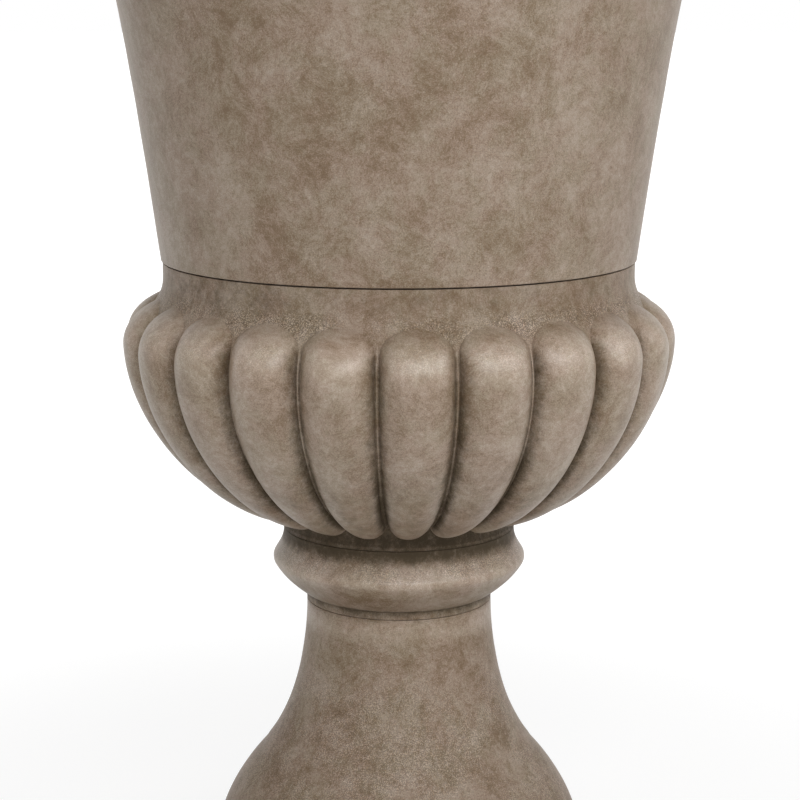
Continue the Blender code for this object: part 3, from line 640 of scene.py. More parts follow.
def stone(name, seed):
    """Hand-painted faux stone: sponged taupe, brown wash and painted shade in hollows, painted
    highlight and rubbed paint on heights.
    """
    n = Nodes(bpy.data.materials.new(name))
    at = n.coords(seed)
    sponge = n.noise(at, *SPONGE)
    tone = n.scaled(n.noise(at, *CLOUDS), *CLOUD_TONE)
    tone = n.math("ADD", tone, n.scaled(sponge, *SPONGE_TONE))
    tone = n.math("ADD", tone, n.scaled(n.noise(at, *GRAIN), *GRAIN_TONE))
    hue = n.mix(n.spread(n.noise(at, *HUES), *HUE_RANGE), STONE_ROSE, STONE_OLIVE)
    colour = n.mix(n.scaled(tone, 2.0, clamp=True), STONE_DARK, hue)
    colour = n.mix(n.scaled(tone, 2.0, -1.0, clamp=True), colour, STONE_PALE)
    speck = n.noise(at, *SPECKS)
    sparkle = n.scaled(n.spread(speck, *SPECK_RANGE), *SPARKLE)
    # Rubbed paint, and painted highlight on lobe crowns, the collar's nose and the pedestal's neck,
    # lift the colour
    lift = n.scaled(n.mark("wear_and_highlight"), *WEAR_AND_HIGHLIGHT_LIFT)
    patch = n.spread(n.noise(at, *PATCHES), *PATCH_RANGE)
    pebble = n.scaled(n.mark("pebble"), patch)
    lift = n.scaled(pebble, sparkle, lift)
    colour = n.add("ShaderNodeVectorMath", operation="SCALE", Vector=colour, Scale=lift)
    # Darken towards dark brown: brown wash in patches and hollows, and painted shade in creases,
    # under overhangs and low on the lobes
    darkening = n.math("SUBTRACT", n.noise(at, *STAINS), 0.5)
    wash_and_shade = n.scaled(darkening, STAIN_GAIN, n.mark("wash_and_shade"))
    wash_and_shade = n.scaled(n.spread(wash_and_shade, 0.0, 1.0), n.spread(n.mark("wash_and_shade"), *WASH_AND_SHADE_RANGE))
    colour = n.mix(wash_and_shade, colour, STONE_WASH_AND_SHADE)
    rough = n.scaled(sponge, *SPONGE_ROUGHNESS)
    height = n.scaled(sponge, SPONGE_RELIEF)
    height = n.scaled(n.noise(at, *SAND), SAND_RELIEF, height)
    return n.surface(
        STONE_BUMP, n.scaled(pebble, speck, height),
        Base_Color=n.mix(n.mark("bare"), colour, RESIN),
        Specular_IOR_Level=n.scaled(n.mark("wear_and_highlight"), *WORN_GLOSS, clamp=True),
        Roughness=n.scaled(wash_and_shade, WASH_AND_SHADE_ROUGHNESS, rough))


def rubber(name, seed):
    """Matt moulded rubber with a dusty bloom."""
    n = Nodes(bpy.data.materials.new(name))
    at = n.coords(seed)
    dust = n.noise(at, *DUST)
    share = n.scaled(n.spread(dust, *DUST_RANGE), 0.5)
    return n.surface(RUBBER_BUMP, n.noise(at, *RUBBER_SKIN),
                     Base_Color=n.mix(share, RUBBER, RUBBER_DUST),
                     Roughness=n.scaled(dust, *DUST_ROUGHNESS))


def zinc(name, seed):
    """Zinc-plated steel with cloudy plating and fine scratches."""
    n = Nodes(bpy.data.materials.new(name))
    at = n.coords(seed)
    cloud = n.noise(at, *PLATING)
    return n.surface(ZINC_BUMP, n.noise(at, *SCRATCHES), Metallic=1.0,
                     Base_Color=n.mix(n.spread(cloud, *PLATING_RANGE), ZINC, ZINC_DULL),
                     Roughness=n.scaled(cloud, *PLATING_ROUGHNESS))


# Pedestal


def pedestal_outline(flare_steps, ovolo_steps):
    """Outer side of the pedestal from the seam down to its round base."""
    shoulder = PEDESTAL_LOW + SHOULDER_HEIGHT
    flare_end = (SHOULDER_RADIUS - SHOULDER_STEP, shoulder + SHOULDER_FILLET)
    drop = PEDESTAL_TOP - flare_end[1]
    spread = flare_end[0] - PEDESTAL_NECK_RADIUS
    share, fall = PEDESTAL_FLARE_LOW
    flare = bezier((PEDESTAL_NECK_RADIUS, PEDESTAL_TOP - SEAM_ARRIS),
                   (PEDESTAL_NECK_RADIUS, PEDESTAL_TOP - drop * PEDESTAL_FLARE_HIGH),
                   (flare_end[0] - spread * share, flare_end[1] + drop * fall), flare_end,
                   flare_steps)
    width = OVOLO_RADIUS - SHOULDER_RADIUS
    height = SHOULDER_HEIGHT - OVOLO_HEIGHT
    share, fall = OVOLO_HIGH
    ovolo = bezier((SHOULDER_RADIUS, shoulder),
                   (SHOULDER_RADIUS + width * share, shoulder - height * fall),
                   (OVOLO_RADIUS, shoulder - height * OVOLO_LOW),
                   (OVOLO_RADIUS, PEDESTAL_LOW + OVOLO_HEIGHT), ovolo_steps)
    fillet = line(flare[-1], ovolo[0], 3)[1:-1]
    return flare + fillet + ovolo


def pedestal_look(radius, height):
    """The marks of a painted point, then how far it may stray."""
    base_top = PEDESTAL_LOW + BASE_HEIGHT
    seam = smooth_step(PEDESTAL_TOP - 0.0035, PEDESTAL_TOP - 0.001, height)
    cove = bump_at(base_top, 0.009, height) * bump_at(OVOLO_RADIUS, 0.008, radius)
    edge = bump_at(BASE_RADIUS - 0.001, 0.003, radius) * bump_at(base_top, 0.006, height)
    neck = bump_at(PEDESTAL_TOP - 0.009, 0.012, height)
    low = 1 - smooth_step(0.15, 0.18, height)
    stray = PEDESTAL_STRAY * (1 - seam) if height < PEDESTAL_TOP - 0.002 else 0.0
    # Darker along the seam under the collar, a painted shade, and in the cove on the base; lighter
    # on the base's top edge, and a painted light band on the neck just under the collar
    return max(0.2 * seam, 0.55 * cove), 0.35 * max(edge, neck), 0.2 + 0.45 * low, 0.0, stray


def make_pedestal():
    """The hollow foot with its round base, web and centring ring."""
    base_top = PEDESTAL_LOW + BASE_HEIGHT
    seat = corner(PEDESTAL_NECK_RADIUS, PEDESTAL_TOP, SEAM_ARRIS, 90, 20, 3)
    outer = pedestal_outline(60, 40)
    under = line(outer[-1], (OVOLO_RADIUS - 0.0005, base_top + 0.0015), 3)
    cove = bezier(under[-1], (OVOLO_RADIUS - 0.0004, base_top), (OVOLO_RADIUS, base_top),
                  (OVOLO_RADIUS + 0.001, base_top), 4)
    ledge = line(cove[-1], (BASE_RADIUS - BASE_TOP_ARRIS, base_top), 5)
    edge = corner(BASE_RADIUS, base_top, BASE_TOP_ARRIS, 90, 0, 10)
    side = line(edge[-1], (BASE_RADIUS, PEDESTAL_LOW + BASE_LOW_ARRIS), 5)
    low = corner(BASE_RADIUS, PEDESTAL_LOW, BASE_LOW_ARRIS, 0, -90, 6)
    painted = seat + outer + under[1:] + cove[1:] + ledge[1:] + edge[1:] + side[1:] + low[1:]
    inner = [p for p in offset(pedestal_outline(40, 24), -PEDESTAL_WALL)
             if p[1] < WEB_LOW - PEDESTAL_WALL / 2]
    inside = [(BASE_BORE, PEDESTAL_LOW), (BASE_BORE, PEDESTAL_LOW + OVOLO_HEIGHT - PEDESTAL_WALL)]
    inside += [(min(r, BASE_BORE), z) for r, z in reversed(inner)]
    inside.append((PEDESTAL_NECK_RADIUS - PEDESTAL_WALL, WEB_LOW))
    top = PEDESTAL_TOP + SPIGOT_HEIGHT
    tube = PEDESTAL_SPIGOT - PEDESTAL_WALL
    web = [(BOLT_HOLE, WEB_LOW), (BOLT_HOLE, WEB_TOP), (tube, WEB_TOP), (tube, top),
           (PEDESTAL_SPIGOT, top), (PEDESTAL_SPIGOT, PEDESTAL_TOP)]
    hidden = inside + web
    look = [pedestal_look(r, z) for r, z in painted] + [BARE_INSIDE] * len(hidden)
    piece = turned("fine_pedestal", painted + hidden, look=look)
    drains = [(p, p + Vector((0, 0, WEB_THICKNESS * 3)), WEB_DRAIN_RADIUS)
              for p in ring(WEB_DRAIN_CIRCLE, WEB_LOW - WEB_THICKNESS, DRAIN_COUNT, math.pi / 2)]
    stud = Vector((0, 0, FOOT_PROUD + FOOT_STUD_LENGTH + TOUCH_GAP * 2))
    studs = [(p, p + stud, FOOT_STUD_RADIUS + TOUCH_GAP) for p in foot_places()]
    drill(piece, drains + studs)
    dress(piece, stone("stone_pedestal", 1), "faux_stone", "pedestal")


def foot_places():
    """Where the rubber feet stand."""
    return ring(FOOT_CIRCLE, 0.0, FOOT_COUNT, math.pi / FOOT_COUNT)


def make_feet():
    """Rubber bumpers on a stud, with eased edges and a shallow recess below."""
    top = FOOT_PROUD - TOUCH_GAP
    tip = FOOT_PROUD + FOOT_STUD_LENGTH
    stud = FOOT_STUD_RADIUS
    wide = FOOT_RADIUS
    profile = [(0.0004, tip), (stud - 0.0006, tip), (stud - 0.0002, tip - 0.0002),
               (stud, tip - 0.0006), (stud, top), (wide - 0.0003, top)]
    profile += corner(wide, top, 0.0003, 60, 0, 3)
    profile += arc((wide - 0.0012, 0.0010), 0.0010, 10, -90, 8)
    profile += [(wide - 0.0030, 0.0), (wide - 0.0034, 0.0004), (0.0040, 0.0004),
                (0.0036, 0.0), (0.0004, 0.0)]
    mat = rubber("rubber_foot", 2)
    for number, place in enumerate(foot_places(), 1):
        foot = turned(f"fine_foot_{number}", profile, SMALL_COLUMNS, closed=False,
                      centre=(place.x, place.y))
        dress(foot, mat, "black_rubber", f"rubber_foot_{number}")


# Collar


def collar_outline():
    """Outer side of the collar from the upper seam down to the lower one."""
    nose_high = COLLAR_LOW + COLLAR_NOSE_HEIGHT
    nose = (COLLAR_NOSE_RADIUS - COLLAR_NOSE_ROUND, nose_high)
    round_nose = arc(nose, COLLAR_NOSE_ROUND, 32, -38, 14)
    top = (COLLAR_TOP_RADIUS, COLLAR_TOP - SEAM_ARRIS)
    drop = top[1] - round_nose[0][1]
    scotia = bezier(top, (COLLAR_TOP_RADIUS, top[1] - drop * SCOTIA_HIGH),
                    (round_nose[0][0] - drop * SCOTIA_LOW[0],
                     round_nose[0][1] + drop * SCOTIA_LOW[1]), round_nose[0], 24)
    ring_top = (PEDESTAL_NECK_RADIUS + COLLAR_RING_LIP, COLLAR_LOW + COLLAR_RING_HEIGHT)
    start = round_nose[-1]
    fall = start[1] - ring_top[1]
    width = start[0] - ring_top[0]
    (high_in, high_down), (low_out, low_up) = COLLAR_UNDER_HIGH, COLLAR_UNDER_LOW
    underside = bezier(start, (start[0] - width * high_in, start[1] - fall * high_down),
                       (ring_top[0] + width * low_out, ring_top[1] + fall * low_up), ring_top, 24)
    low_ring = bezier(ring_top, (PEDESTAL_NECK_RADIUS + 0.0005, ring_top[1] - 0.0001),
                      (PEDESTAL_NECK_RADIUS, ring_top[1] - 0.0004),
                      (PEDESTAL_NECK_RADIUS, ring_top[1] - 0.0012), 5)
    return scotia + round_nose[1:] + underside[1:] + low_ring[1:]


def collar_look(height):
    """The marks of a painted point, then how far it may stray."""
    crease = COLLAR_LOW + COLLAR_RING_HEIGHT
    nose = COLLAR_LOW + COLLAR_NOSE_HEIGHT
    # Painted shade at the top under the bowl, in the crease above the low ring and on the ring
    # below it
    wash_and_shade = max(0.9 * smooth_step(COLLAR_TOP - 0.014, COLLAR_TOP - 0.002, height),
               0.75 * bump_at(crease - 0.0006, 0.0028, height),
               0.32 * (1 - smooth_step(crease - 0.002, crease, height)))
    # A painted highlight on the nose, which also raises its gloss
    wear_and_highlight = 0.6 * bump_at(nose + 0.002, 0.014, height)
    pebble = 0.9 * bump_at(nose + 0.008, 0.013, height)
    clear_of_seams = COLLAR_LOW + 0.002 < height < COLLAR_TOP - 0.002
    return wash_and_shade, wear_and_highlight, pebble, 0.0, COLLAR_STRAY if clear_of_seams else 0.0


def make_collar():
    """The turned knop between bowl and pedestal."""
    high = corner(COLLAR_TOP_RADIUS, COLLAR_TOP, SEAM_ARRIS, 90, 20, 3)
    low = corner(PEDESTAL_NECK_RADIUS, COLLAR_LOW, SEAM_ARRIS, 0, -90, 4)
    painted = high + collar_outline() + low
    chamber = COLLAR_NOSE_RADIUS - COLLAR_WALL
    nose = COLLAR_LOW + COLLAR_NOSE_HEIGHT
    low_bore = PEDESTAL_SPIGOT + SPIGOT_CLEARANCE
    top_bore = BOWL_SPIGOT + SPIGOT_CLEARANCE
    inside = [(low_bore, COLLAR_LOW), (low_bore, COLLAR_LOW + COLLAR_RING_HEIGHT + COLLAR_WALL / 4),
              (chamber, nose - COLLAR_WALL / 4), (chamber, nose + COLLAR_WALL / 2),
              (top_bore, nose + COLLAR_WALL * 1.5), (top_bore, COLLAR_TOP)]
    look = [collar_look(z) for _, z in painted] + [BARE_INSIDE] * len(inside)
    piece = turned("fine_collar", painted + inside, look=look)
    dress(piece, stone("stone_collar", 2), "faux_stone", "collar")


# Bowl


def valley_curve(steps):
    """The bowl's surface at the foot of the lobes, from their top edge down to their tips."""
    start = (LOBE_TOP_RADIUS, LOBE_TOP)
    end = (LOBE_TIP_RADIUS, BOWL_LOW + LOBE_TIP_HEIGHT)
    width = start[0] - end[0]
    height = start[1] - end[1]
    return bezier(start, (start[0] + width * VALLEY_HIGH[0], start[1] - height * VALLEY_HIGH[1]),
                  (end[0] + width * VALLEY_LOW[0], end[1] + height * VALLEY_LOW[1]), end, steps)


def lobe_stations(length):
    """Distances along the valley curve at which the lobes get a row of points."""
    round_end = [1 - math.cos(math.radians(a)) for a in range(0, 91, 6)]
    arch = [LOBE_ARCH * share for share in round_end]
    toe = [length - LOBE_TOE * share for share in reversed(round_end)]
    between = [arch[-1] + (toe[0] - arch[-1]) * i / LOBE_ROWS for i in range(1, LOBE_ROWS)]
    return arch + between + toe


def lobe_rows():
    """Each row's radius, height, outward normal, half width, depth, way from top and from tip."""
    fine = valley_curve(600)
    along = [0.0]
    for a, b in zip(fine, fine[1:]):
        along.append(along[-1] + math.dist(a, b))
    outward = normals(fine)
    length = along[-1]
    rows = []
    k = 0
    for s in lobe_stations(length):
        while k < len(along) - 2 and along[k + 1] < s:
            k += 1
        part = (s - along[k]) / (along[k + 1] - along[k])
        radius, height = (fine[k][j] + (fine[k + 1][j] - fine[k][j]) * part for j in (0, 1))
        room = LOBE_PITCH / 2 * radius - LOBE_GAP / 2
        arch = max(0.0, 1 - s / LOBE_ARCH)
        toe = min(1.0, max(0.0, 1 - (length - s) / LOBE_TOE))
        closing = (1 - arch ** ARCH_SQUARENESS) ** (1 / ARCH_SQUARENESS) * math.sqrt(1 - toe ** 2)
        depth = LOBE_DEPTH + LOBE_TOP_EXTRA * (1 - s / length) ** DEPTH_FALL
        depth *= math.sin(math.pi / 2 * min(1.0, s / LOBE_SWELL)) ** SWELL_SOFTNESS
        depth *= math.sqrt(1 - toe ** 2)
        half_width = room * max(closing, LEAST_CLOSING)
        rows.append((radius, height, outward[k], half_width, depth, s, length - s))
    return rows


def lobe_ring(row):
    """One ring around the bowl through every lobe, with the marks of each of its points."""
    radius, height, outward, half_width, depth, from_top, from_tip = row
    points = []
    marks = []
    low_part = smooth_step(0.006, 0.030, from_top) * smooth_step(0.004, 0.020, from_tip)
    deep = smooth_step(0.02, 0.15, from_top)
    tip = 1 - smooth_step(0.0, 0.012, from_tip)
    shoulder = bump_at(0.021, 0.021, from_top)
    top = 1 - smooth_step(0.0, 0.020, from_top)
    stray = LOBE_STRAY * smooth_step(0.0, 0.006, from_tip)
    strip = LOBE_PITCH - 2 * half_width / radius
    for lobe in range(LOBE_COUNT):
        centre = -math.pi / 2 + lobe * LOBE_PITCH
        for i in range(LOBE_STEPS + GAP_STEPS):
            if i <= LOBE_STEPS:
                turn = math.pi * i / LOBE_STEPS
                across = -math.cos(turn)
                angle = centre + across * half_width / radius
                lift = depth * (1 - abs(across) ** LOBE_SQUARENESS) ** LOBE_ROUNDNESS
                edge = 1 - math.sin(turn)
            else:
                share = (i - LOBE_STEPS) / GAP_STEPS
                angle = centre + half_width / radius + strip * share
                lift = 0.0
                edge = 1.0
            ridge = 1.0 if i == LOBE_STEPS + GAP_STEPS // 2 else 0.0
            groove = 1.0 if i in (0, LOBE_STEPS) else 0.0
            lift += (RIDGE_RISE * ridge - GROOVE_DEPTH * groove) * low_part
            point = polar(radius + outward[0] * lift, angle, height + outward[1] * lift)
            point += polar(outward[0], angle, outward[1]) * stray * cast_noise(point)
            points.append(point)
            # Brown wash and painted shade in the valleys, growing lower down, and painted shade at
            # the tips and on the lower part
            between = (VALLEY_WASH_AND_SHADE + VALLEY_SHADE_MORE * deep) * smooth_step(*CREVICE, edge)
            wash_and_shade = max(between * low_part, TIP_SHADE * tip, UNDERSIDE_SHADE * deep * low_part,
                       LOBE_STAIN)
            # The fine ridges near the top stay light: rubbed paint and a painted highlight
            wash_and_shade *= 1 - RIDGE_CLEAR * ridge * (1 - deep)
            # Rubbed paint and painted highlight on each lobe's crown and shoulder
            crown = 1 - smooth_step(0.0, 0.7, edge)
            rubbed_and_lit = crown * (CROWN_WEAR_AND_HIGHLIGHT * low_part + SHOULDER_WEAR_AND_HIGHLIGHT * shoulder)
            wear_and_highlight = max(RIDGE_WEAR_AND_HIGHLIGHT * ridge * low_part * (1 - deep), rubbed_and_lit)
            spandrel = top * smooth_step(0.9, 1.0, edge)
            pebble = max(LOBE_PEBBLE * crown * shoulder, spandrel, LEAST_PEBBLE)
            marks.append((wash_and_shade, wear_and_highlight, pebble, 0.0))
    return points, marks


def plain_ring(radius, height, wash_and_shade, pebble, bare, stray=0.0, darkening=0.0):
    """One ring of the bowl without lobes, with the marks of each of its points."""
    points = uneven_ring(radius, height, BOWL_COLUMNS, stray, -math.pi / 2 - LOBE_PITCH / 2)
    darkenings = [darkening * bump_at(NECK_DARKEST_AT, NECK_DARKEST_WIDTH, math.atan2(p.y, p.x))
              for p in points]
    return points, [(wash_and_shade + extra, 0.0, pebble, bare) for extra in darkenings]


def bowl_neck_outline():
    """Outer side of the bowl's neck down to the top edge of the lobes."""
    neck = corner(BOWL_NECK_RADIUS, BOWL_TOP, BOWL_ARRIS, 90, 0, 5)
    lobes = (LOBE_TOP_RADIUS, LOBE_TOP)
    bend = (BOWL_NECK_RADIUS, LOBE_TOP + NECK_COVE)
    width = lobes[0] - bend[0]
    curve = bezier(bend, (bend[0], bend[1] - NECK_COVE * COVE_HIGH),
                   (lobes[0] - width * COVE_LOW[0], lobes[1] + NECK_COVE * COVE_LOW[1]), lobes, 10)
    return neck + line(neck[-1], bend, 4)[1:-1] + curve[:-1]


def bowl_foot_outline():
    """Outer side of the bowl's foot, below the lobes."""
    tip = (LOBE_TIP_RADIUS, BOWL_LOW + LOBE_TIP_HEIGHT)
    edge = (BOWL_FOOT_RADIUS, BOWL_LOW + SEAM_ARRIS)
    drop = tip[1] - edge[1]
    share, fall = FOOT_HOLLOW_HIGH
    hollow = bezier(tip, (tip[0] - FOOT_WAIST * share, tip[1] - drop * fall),
                    (edge[0] - FOOT_WAIST, edge[1] + drop * FOOT_HOLLOW_LOW), edge, 16)[1:]
    return hollow + corner(BOWL_FOOT_RADIUS, BOWL_LOW, SEAM_ARRIS, -20, -90, 3)


def bowl_inside():
    """From the foot's seat through the floor and up the inside to the neck's bore."""
    tube = BOWL_SPIGOT - BOWL_WALL
    low = BOWL_LOW - SPIGOT_HEIGHT
    under = [(BOWL_SPIGOT, BOWL_LOW), (BOWL_SPIGOT, low), (tube, low), (tube, FLOOR_LOW),
             (BOLT_HOLE, FLOOR_LOW)]
    wall = [p for p in offset(valley_curve(56), -BOWL_WALL) if p[1] < LOBE_TOP - BOWL_WALL]
    sump = [(BOLT_HOLE, FLOOR_TOP), (wall[-1][0] - BOWL_WALL, FLOOR_TOP)]
    neck = [(NECK_BORE, LOBE_TOP), (NECK_BORE, BOWL_TOP)]
    return under + sump + wall[:0:-1] + neck


def make_bowl():
    """The gadrooned bowl."""
    rows = []
    for r, z in bowl_neck_outline():
        low = 1 - smooth_step(LOBE_TOP, LOBE_TOP + NECK_COVE, z)
        stray = NECK_STRAY * smooth_step(0, 0.006, BOWL_TOP - z)
        rows.append(plain_ring(r, z, NECK_DARKENING * (1 - low), low, 0.0, stray, NECK_DARKENING))
    rows += [lobe_ring(row) for row in lobe_rows()]
    for r, z in bowl_foot_outline():
        # Painted shade over the foot under the lobes' tips, less along its low edge as a painted
        # highlight
        wash_and_shade = FOOT_SHADE - 0.2 * bump_at(BOWL_LOW + 0.0015, 0.0012, z)
        rows.append(plain_ring(r, z, wash_and_shade, 0.2, 0.0))
    rows += [plain_ring(r, z, 0.0, 0.2, 1.0) for r, z in bowl_inside()]
    rings, marks = zip(*rows)
    piece = ring_mesh("fine_bowl", rings, marks)
    depth = Vector((0, 0, BOWL_FLOOR))
    drains = [(p - depth * 2, p + depth, DRAIN_RADIUS)
              for p in ring(DRAIN_CIRCLE, FLOOR_TOP, DRAIN_COUNT, -math.pi / 2)]
    drill(piece, drains + screw_holes())
    dress(piece, stone("stone_bowl", 3), "faux_stone", "gadroon_bowl")


# Bell


def flare_outline(steps):
    """Outer side of the bell from the rolled rim down to its foot."""
    foot = (BELL_FOOT_RADIUS, BELL_LOW + BELL_FOOT_ARRIS)
    rim = (FLARE_RADIUS, BELL_LOW + FLARE_HEIGHT)
    tilt = math.radians(FLARE_TILT)
    turn = math.radians(FLARE_TURN)
    rise = rim[1] - foot[1]
    low = rise * BELL_LOW_REACH
    high = rise * BELL_HIGH_REACH
    return bezier(rim, (rim[0] - high * math.sin(turn), rim[1] - high * math.cos(turn)),
                  (foot[0] + low * math.sin(tilt), foot[1] + low * math.cos(tilt)), foot, steps)


def bell_look(radius, height):
    """The marks of a painted point, then how far it may stray."""
    seam = bump_at(BELL_LOW, 0.003, height)
    under_rim = bump_at(BELL_TOP - 2 * RIM_ROLL, 0.008, height)
    # Darker along the seam at the foot, and painted shade under the rolled rim
    wash_and_shade = max(0.15 * seam, 0.6 * under_rim * bump_at(FLARE_RADIUS, 0.006, radius))
    wear_and_highlight = max(0.3 * bump_at(BELL_TOP, 0.004, height), 0.09)
    return wash_and_shade, wear_and_highlight, 0.2, 0.0, BELL_STRAY * smooth_step(0.002, 0.010, height - BELL_LOW)


def make_bell():
    """The flared bell with its rolled rim and spigot."""
    roll = corner(RIM_RADIUS, BELL_TOP, RIM_ROLL, 150, -120, 40)
    outer = flare_outline(90)
    lip_low = BELL_LOW - LIP_DROP
    foot = corner(BELL_FOOT_RADIUS, lip_low, BELL_FOOT_ARRIS, 0, -90, 8)
    foot += [(BELL_FOOT_RADIUS - LIP_WIDTH, lip_low), (BELL_FOOT_RADIUS - LIP_WIDTH, BELL_LOW)]
    spigot_end = BELL_LOW - BELL_SPIGOT_DEPTH
    spigot = [(BELL_SPIGOT, BELL_LOW), (BELL_SPIGOT, spigot_end), (BELL_BORE, spigot_end),
              (BELL_BORE, BELL_LOW + BELL_WALL)]
    inner = [p for p in offset(flare_outline(60), -BELL_WALL)
             if p[1] > BELL_LOW + BELL_JOINT_RISE][::-1]
    painted = roll + outer + foot
    hidden = spigot + inner
    look = [bell_look(r, z) for r, z in painted]
    look += [(0.0, 0.0, 0.1, 1 - smooth_step(BELL_TOP - 0.10, BELL_TOP - 0.03, z), 0.0)
             for _, z in hidden]
    piece = turned("fine_bell", painted + hidden, look=look)
    drill(piece, screw_holes())
    dress(piece, stone("stone_bell", 4), "faux_stone", "upper_bell")


def make_seal():
    """Rubber ring in the seam under the bell."""
    inner = BELL_SPIGOT + SPIGOT_CLEARANCE
    outer = BOWL_NECK_RADIUS - SEAL_SETBACK
    top = SEAL_LOW + SEAL_THICKNESS
    profile = [(inner, SEAL_LOW), (outer - 0.0002, SEAL_LOW)]
    half = SEAL_THICKNESS / 2
    profile += arc((outer - half, (SEAL_LOW + top) / 2), half, -70, 70, 6)
    profile += [(outer - 0.0002, top), (inner, top)]
    dress(turned("fine_seal", profile), rubber("rubber_seal", 3), "black_rubber", "joint_seal")


# Fasteners


def screw_holes():
    """The six radial holes through the bell's spigot into the bowl's neck."""
    phase = math.pi / SCREW_COUNT
    inner = ring(BELL_BORE - SCREW_HEAD_HEIGHT, SCREW_HEIGHT, SCREW_COUNT, phase)
    outer = ring(SCREW_TIP + TOUCH_GAP, SCREW_HEIGHT, SCREW_COUNT, phase)
    return [(a, b, SCREW_RADIUS + TOUCH_GAP) for a, b in zip(inner, outer)]


def threaded(name, radius, low, high, pitch, columns, taper):
    """A rod with a real helical thread from low to high, narrower by taper at its low end."""
    depth = pitch * 0.5
    rows = max(8, round((high - low) / pitch * 8))
    rings = []
    for k in range(rows + 1):
        z = low + (high - low) * k / rows
        ends = min(1.0, min(z - low, high - z) / pitch)
        points = []
        for i in range(columns):
            turn = 2 * math.pi * i / columns
            wave = ((z - low) / pitch - i / columns) % 1.0
            cut = depth * (1 - abs(2 * wave - 1)) * ends
            narrow = taper * max(0.0, 1 - (z - low) / (4 * pitch))
            r = radius - cut - narrow - depth * 0.6 * (1 - ends)
            points.append(polar(r, turn, z))
        rings.append(points)
    return ring_mesh(name, rings, closed=False)


def make_screws():
    """Pan-head screws with a cross recess, driven outwards from inside the pot."""
    mat = zinc("zinc_screw", 4)
    wide = SCREW_HEAD_RADIUS
    high = SCREW_HEAD_HEIGHT
    profile = [(TIP_RADIUS, 0.0), (wide - 0.0002, 0.0), (wide, 0.0002)]
    profile += bezier((wide, high * 0.35), (wide, high * 0.8), (wide * 0.75, high),
                      (TIP_RADIUS, high), 8)
    slot_size = Matrix.Diagonal((wide * 1.2, high * 0.32, high * 1.2, 1.0))
    slot_lift = Matrix.Translation((0, 0, high * 1.05))
    places = ring(SCREW_SEAT, SCREW_HEIGHT, SCREW_COUNT, math.pi / SCREW_COUNT)
    for number, place in enumerate(places, 1):
        head = turned(f"fine_screw_{number}", profile, 32, closed=False)
        for turn in (0, math.pi / 2):
            slot = bmesh.new()
            spot = slot_lift @ Matrix.Rotation(turn, 4, "Z") @ slot_size
            bmesh.ops.create_cube(slot, size=1.0, matrix=spot)
            combine(head, mesh_object("slot", slot), "DIFFERENCE")
        shank = threaded("shank", SCREW_RADIUS, SCREW_SEAT - SCREW_TIP, -0.0001, SCREW_PITCH, 24,
                         SCREW_RADIUS * 0.7)
        combine(head, shank, "UNION")
        axis = Vector((-place.x, -place.y, 0)).to_track_quat("Z", "X").to_matrix().to_4x4()
        axis.translation = place
        head.data.transform(axis)
        dress(head, mat, "zinc_steel", f"bell_screw_{number}")


def washer(node, low, thickness, radius, mat, slot):
    """Flat ring with eased edges around the tie bolt."""
    ease = min(thickness * 0.2, SMALL_EASE)
    high = low + thickness
    profile = [(BOLT_HOLE, low + ease), (BOLT_HOLE + ease, low), (radius - ease, low),
               (radius, low + ease), (radius, high - ease), (radius - ease, high),
               (BOLT_HOLE + ease, high), (BOLT_HOLE, high - ease)]
    dress(turned(f"fine_{node}", profile, 64), mat, slot, node)


def make_tie_bolt():
    """Hexagon bolt, its seal and washers, and the wing nut under the web."""
    seal_low = FLOOR_TOP + TOUCH_GAP
    upper_low = seal_low + BOLT_SEAL_THICKNESS + TOUCH_GAP
    head_low = upper_low + WASHER_THICKNESS + TOUCH_GAP
    lower_low = WEB_LOW - TOUCH_GAP - WASHER_THICKNESS
    nut_top = lower_low - TOUCH_GAP
    bolt_end = nut_top - NUT_HEIGHT - BOLT_END
    metal = zinc("zinc_bolt", 5)
    washer("bolt_seal", seal_low, BOLT_SEAL_THICKNESS, BOLT_SEAL_RADIUS,
           rubber("rubber_bolt_seal", 6), "black_rubber")
    for node, low in (("upper_washer", upper_low), ("lower_washer", lower_low)):
        washer(node, low, WASHER_THICKNESS, WASHER_RADIUS, metal, "zinc_steel")
    head_top = head_low + BOLT_HEAD_HEIGHT
    wide = BOLT_HEAD_RADIUS
    flat = wide * math.cos(math.pi / 6)
    block = turned("hexagon", [(PIN_RADIUS, head_top), (wide, head_top), (wide, head_low),
                               (PIN_RADIUS, head_low)], 6, closed=False)
    crown = turned("crown", [(PIN_RADIUS, head_top), (flat * 0.96, head_top),
                             (wide * 1.02, head_top - 0.0009), (wide * 1.02, head_low + 0.0003),
                             (flat, head_low), (PIN_RADIUS, head_low)], 64, closed=False)
    combine(block, crown, "INTERSECT")
    thread_top = bolt_end + BOLT_THREAD_LENGTH
    rod = threaded("rod", BOLT_RADIUS, bolt_end, thread_top, BOLT_PITCH, 40, BOLT_RADIUS * 0.15)
    plain = turned("plain", [(PIN_RADIUS, head_low + 0.002), (BOLT_RADIUS, head_low + 0.002),
                             (BOLT_RADIUS, thread_top - 0.0008),
                             (BOLT_RADIUS * 0.9, thread_top - 0.0012),
                             (PIN_RADIUS, thread_top - 0.0012)], 40, closed=False)
    combine(block, plain, "UNION")
    combine(block, rod, "UNION")
    block.name = "fine_tie_bolt"
    dress(block, metal, "zinc_steel", "tie_bolt")
    make_wing_nut(nut_top, metal)


